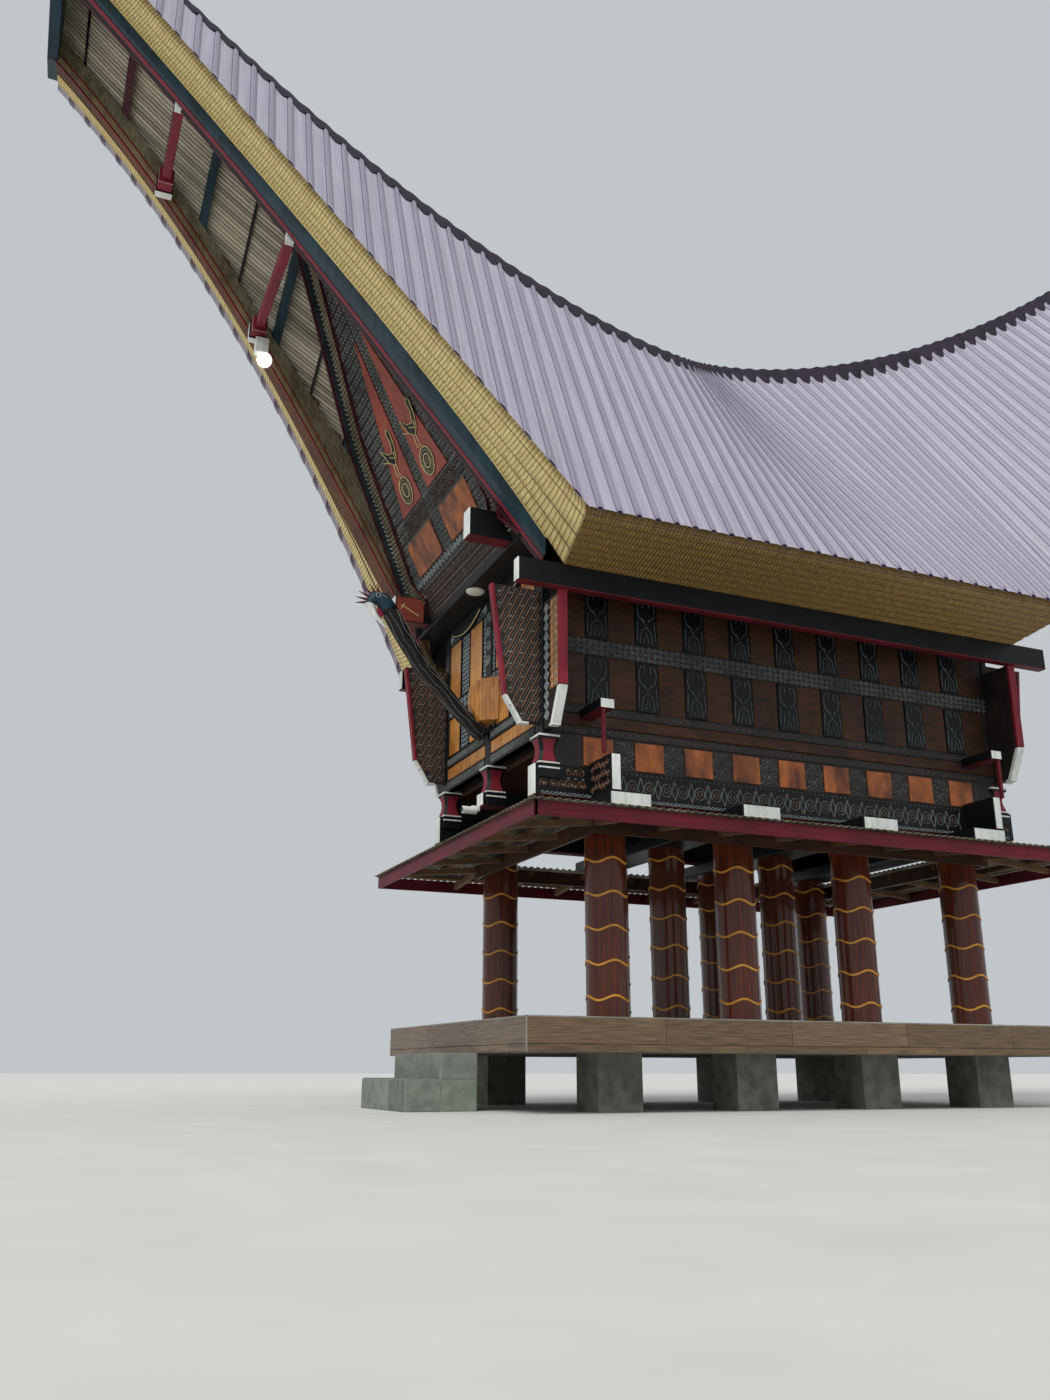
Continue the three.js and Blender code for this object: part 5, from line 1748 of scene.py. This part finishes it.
# Blocks on a tie's left end: from, to, half depth, half height and paint
TIE_BLOCKS = ((0.0, 0.1, 0.085, 0.1, white), (0.1, 0.106, 0.088, 0.103, black),
              (0.106, 0.25, 0.075, 0.09, red), (0.236, 0.243, 0.077, 0.092, white))
TIE_END = 0.075
FLOOD_LAMP_FROM_TIE = (0.11, 0.09, -0.24)
BEAM_TRIM_X = 1.055
BEAM_TRIM_Y = (2.93, 3.235)
WATCH_PLACE = (0.0, -2.76, 2.66)
WATCH_LENS_Y = -2.833


def rake_tie(node):
    """Square red tie with a white right end. Its left end is a white block with a red block next to it."""
    low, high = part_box(node)
    middle = (low + high) / 2
    bm = bmesh.new()
    lengths = [(low.x + 0.1, high.x - TIE_END, 0.043, 0.058, red),
               (high.x - TIE_END, high.x, 0.045, 0.06, white)]
    lengths += [(low.x + a, low.x + b, *rest) for a, b, *rest in TIE_BLOCKS]
    for x0, x1, half_y, half_z, index in lengths:
        block(bm, (x0, middle.y - half_y, middle.z - half_z), (x1, middle.y + half_y, middle.z + half_z),
              0.005, index)
    dressed(node, bm, PAINTS)


def flood_lamp():
    """Round lamp on a bracket under the left end of the low front tie."""
    low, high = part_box("rake_tie_low_front")
    centre = Vector((low.x, (low.y + high.y) / 2, low.z)) + Vector(FLOOD_LAMP_FROM_TIE)
    bm = ball(0.08, 16, centre)
    block(bm, centre + Vector((-0.05, -0.11, 0.06)), centre + Vector((0.05, 0.03, 0.239)), 0.006, 1)
    piece("flood_lamp", bm, [LIT_GLASS, WHITE])


def upper_beam_trim(side, word):
    """The beam ends' faces towards the middle are brick red, with a pale dagger line."""
    low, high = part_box(f"upper_beam_{word}")
    bm = bmesh.new()
    at = face_frame((side * BEAM_TRIM_X, 0, 0), (0, -side, 0), (0, 0, 1))
    for end in (-1, 1):
        a, b = mirrored(-side * end, *BEAM_TRIM_Y)
        bar(bm, at, a, b, low.z + 0.01, high.z - 0.01, 0, 0.004, brick)
        mark = at.moved((a + b) / 2, low.z, 0.004)
        stroke(bm, mark, [(-0.1, 0.18), (0.1, 0.08)], 0.012, 0.006, cream)
        stroke(bm, mark, [(-0.1, 0.13), (-0.06, 0.2)], 0.009, 0.006, cream)
    piece(f"upper_beam_trim_{word}", bm, PAINTS)


def watch_camera():
    """Small white watch camera on its bracket under the middle beam's end."""
    bm = bmesh.new()

    def barrel(radius, deep, centre):
        made = bmesh.ops.create_cone(bm, cap_ends=True, segments=20, radius1=radius, radius2=radius,
                                     depth=deep)
        bmesh.ops.rotate(bm, verts=made["verts"], matrix=Matrix.Rotation(math.pi / 2, 3, "X"))
        bmesh.ops.translate(bm, verts=made["verts"], vec=centre)
        return {face for v in made["verts"] for face in v.link_faces}

    x, y, z = WATCH_PLACE
    barrel(0.035, 0.14, WATCH_PLACE)
    block(bm, (x - 0.012, y + 0.02, z - 0.005), (x + 0.012, y + 0.105, z + 0.045), 0.004)
    for face in barrel(0.024, 0.01, (x, WATCH_LENS_Y, z)):
        face.material_index = 1
    piece("watch_camera", bm, [WHITE, BLACK])


# Pent roof round the columns: sizes go along x and y

PENT_OUT = (2.115, 3.01)
PENT_IN = (1.38, 2.13)
PENT_EDGE_Z = 2.31
PENT_IN_Z = 2.40
PENT_FOOT_Z = 2.19
PENT_SHEET_LIFT = 0.012
PENT_SHEET_THICK = 0.002
WAVE = 0.076
WAVE_HIGH = 0.009
OVERHANG = 0.035
FASCIA_THICK = 0.025
PENT_RAFTER_PITCH = 0.62
PENT_RAFTER_HALF = 0.025
BATTEN_SHARES = (0.3, 0.65)


def pent_point(axis, sign, along, share, lift=0.0):
    """A point on one side's slope; share is 0 at the eave and 1 at the columns."""
    edge = PENT_OUT[1 - axis] + OVERHANG
    inner = PENT_IN[1 - axis]
    z = PENT_EDGE_Z + PENT_SHEET_LIFT + (PENT_IN_Z - PENT_EDGE_Z) * share + lift
    point = Vector((0, 0, z))
    point[axis] = along
    point[1 - axis] = sign * (edge + (inner - edge) * share)
    return point


def pent_side(axis, sign, node):
    """Corrugated sheet to the hips, a deep red board at its edge, and sawn rafters and battens below."""
    reach, inner = PENT_OUT[axis] + OVERHANG, PENT_IN[axis]
    out, near = PENT_OUT[1 - axis], PENT_IN[1 - axis]
    bm = bmesh.new()
    rows = []
    for along in span(-reach, reach, WAVE / 6):
        lift = WAVE_HIGH * math.cos(2 * math.pi * along / WAVE)
        stop = 1.0 if abs(along) <= inner else max((reach - abs(along)) / (reach - inner), 0.003)
        rows.append([pent_point(axis, sign, along, stop * t, lift) for t in (0, 0.5, 1)])
    grid(bm, rows)
    thicken_sheet(bm, PENT_SHEET_THICK)

    def timber(a0, a1, s0, s1, depth, thick):
        top = [pent_point(axis, sign, a, s, -0.02) for a, s in ((a0, s0), (a1, s0), (a1, s1), (a0, s1))]
        plate(bm, [p - Vector((0, 0, depth)) for p in top], Vector((0, 0, -thick)), 2)

    for along in span(-inner, inner, PENT_RAFTER_PITCH):
        timber(along - PENT_RAFTER_HALF, along + PENT_RAFTER_HALF, 0.05, 1.0, 0.03, 0.055)
    for share in BATTEN_SHARES:
        width = reach + (inner - reach) * share
        timber(-width, width, share - 0.04, share + 0.04, 0.0, 0.03)
    block(bm, *corners(axis, (-PENT_OUT[axis], PENT_OUT[axis]), (sign * out, sign * (out - FASCIA_THICK)),
                       (PENT_FOOT_Z, PENT_EDGE_Z)), 0.003, 1)
    block(bm, *corners(axis, (-inner - 0.03, inner + 0.03), (sign * (near + 0.002), sign * (near + 0.035)),
                       (2.24, 2.375)), 0.003, 3)
    dressed(node, bm, [CORRUGATED, DEEP_RED, RAW_TIMBER, BROWN], smooth=30)


def dress_store():
    for word, end in ENDS:
        gable_wall(word, end)
        shelf_lamp(word, end)
        gable_panel(word, end)
        tall_cross_beam(word, end)
        rake_tie(f"rake_tie_low_{word}")
        rake_tie(f"rake_tie_high_{word}")
        pent_side(0, end, f"pent_roof_{word}")
        for side_word, _ in SIDES:
            fin(end, f"fin_{word}_{side_word}")
    for word, side in SIDES:
        side_wall(word, side)
        upper_beam_trim(side, word)
        pent_side(1, side, f"pent_roof_{word}")
    katik()
    kabongo()
    flood_lamp()
    watch_camera()
    paint_node("store_floor", BROWN)


def studio_floor():
    bm = bmesh.new()
    bmesh.ops.create_grid(bm, x_segments=1, y_segments=1, size=FLOOR_HALF)
    new_object("floor", new_mesh("floor", bm, [STUDIO_FLOOR]))


set_camera()
set_light()
dress_roof()
dress_beams()
dress_columns()
dress_store()
dress_base()
studio_floor()
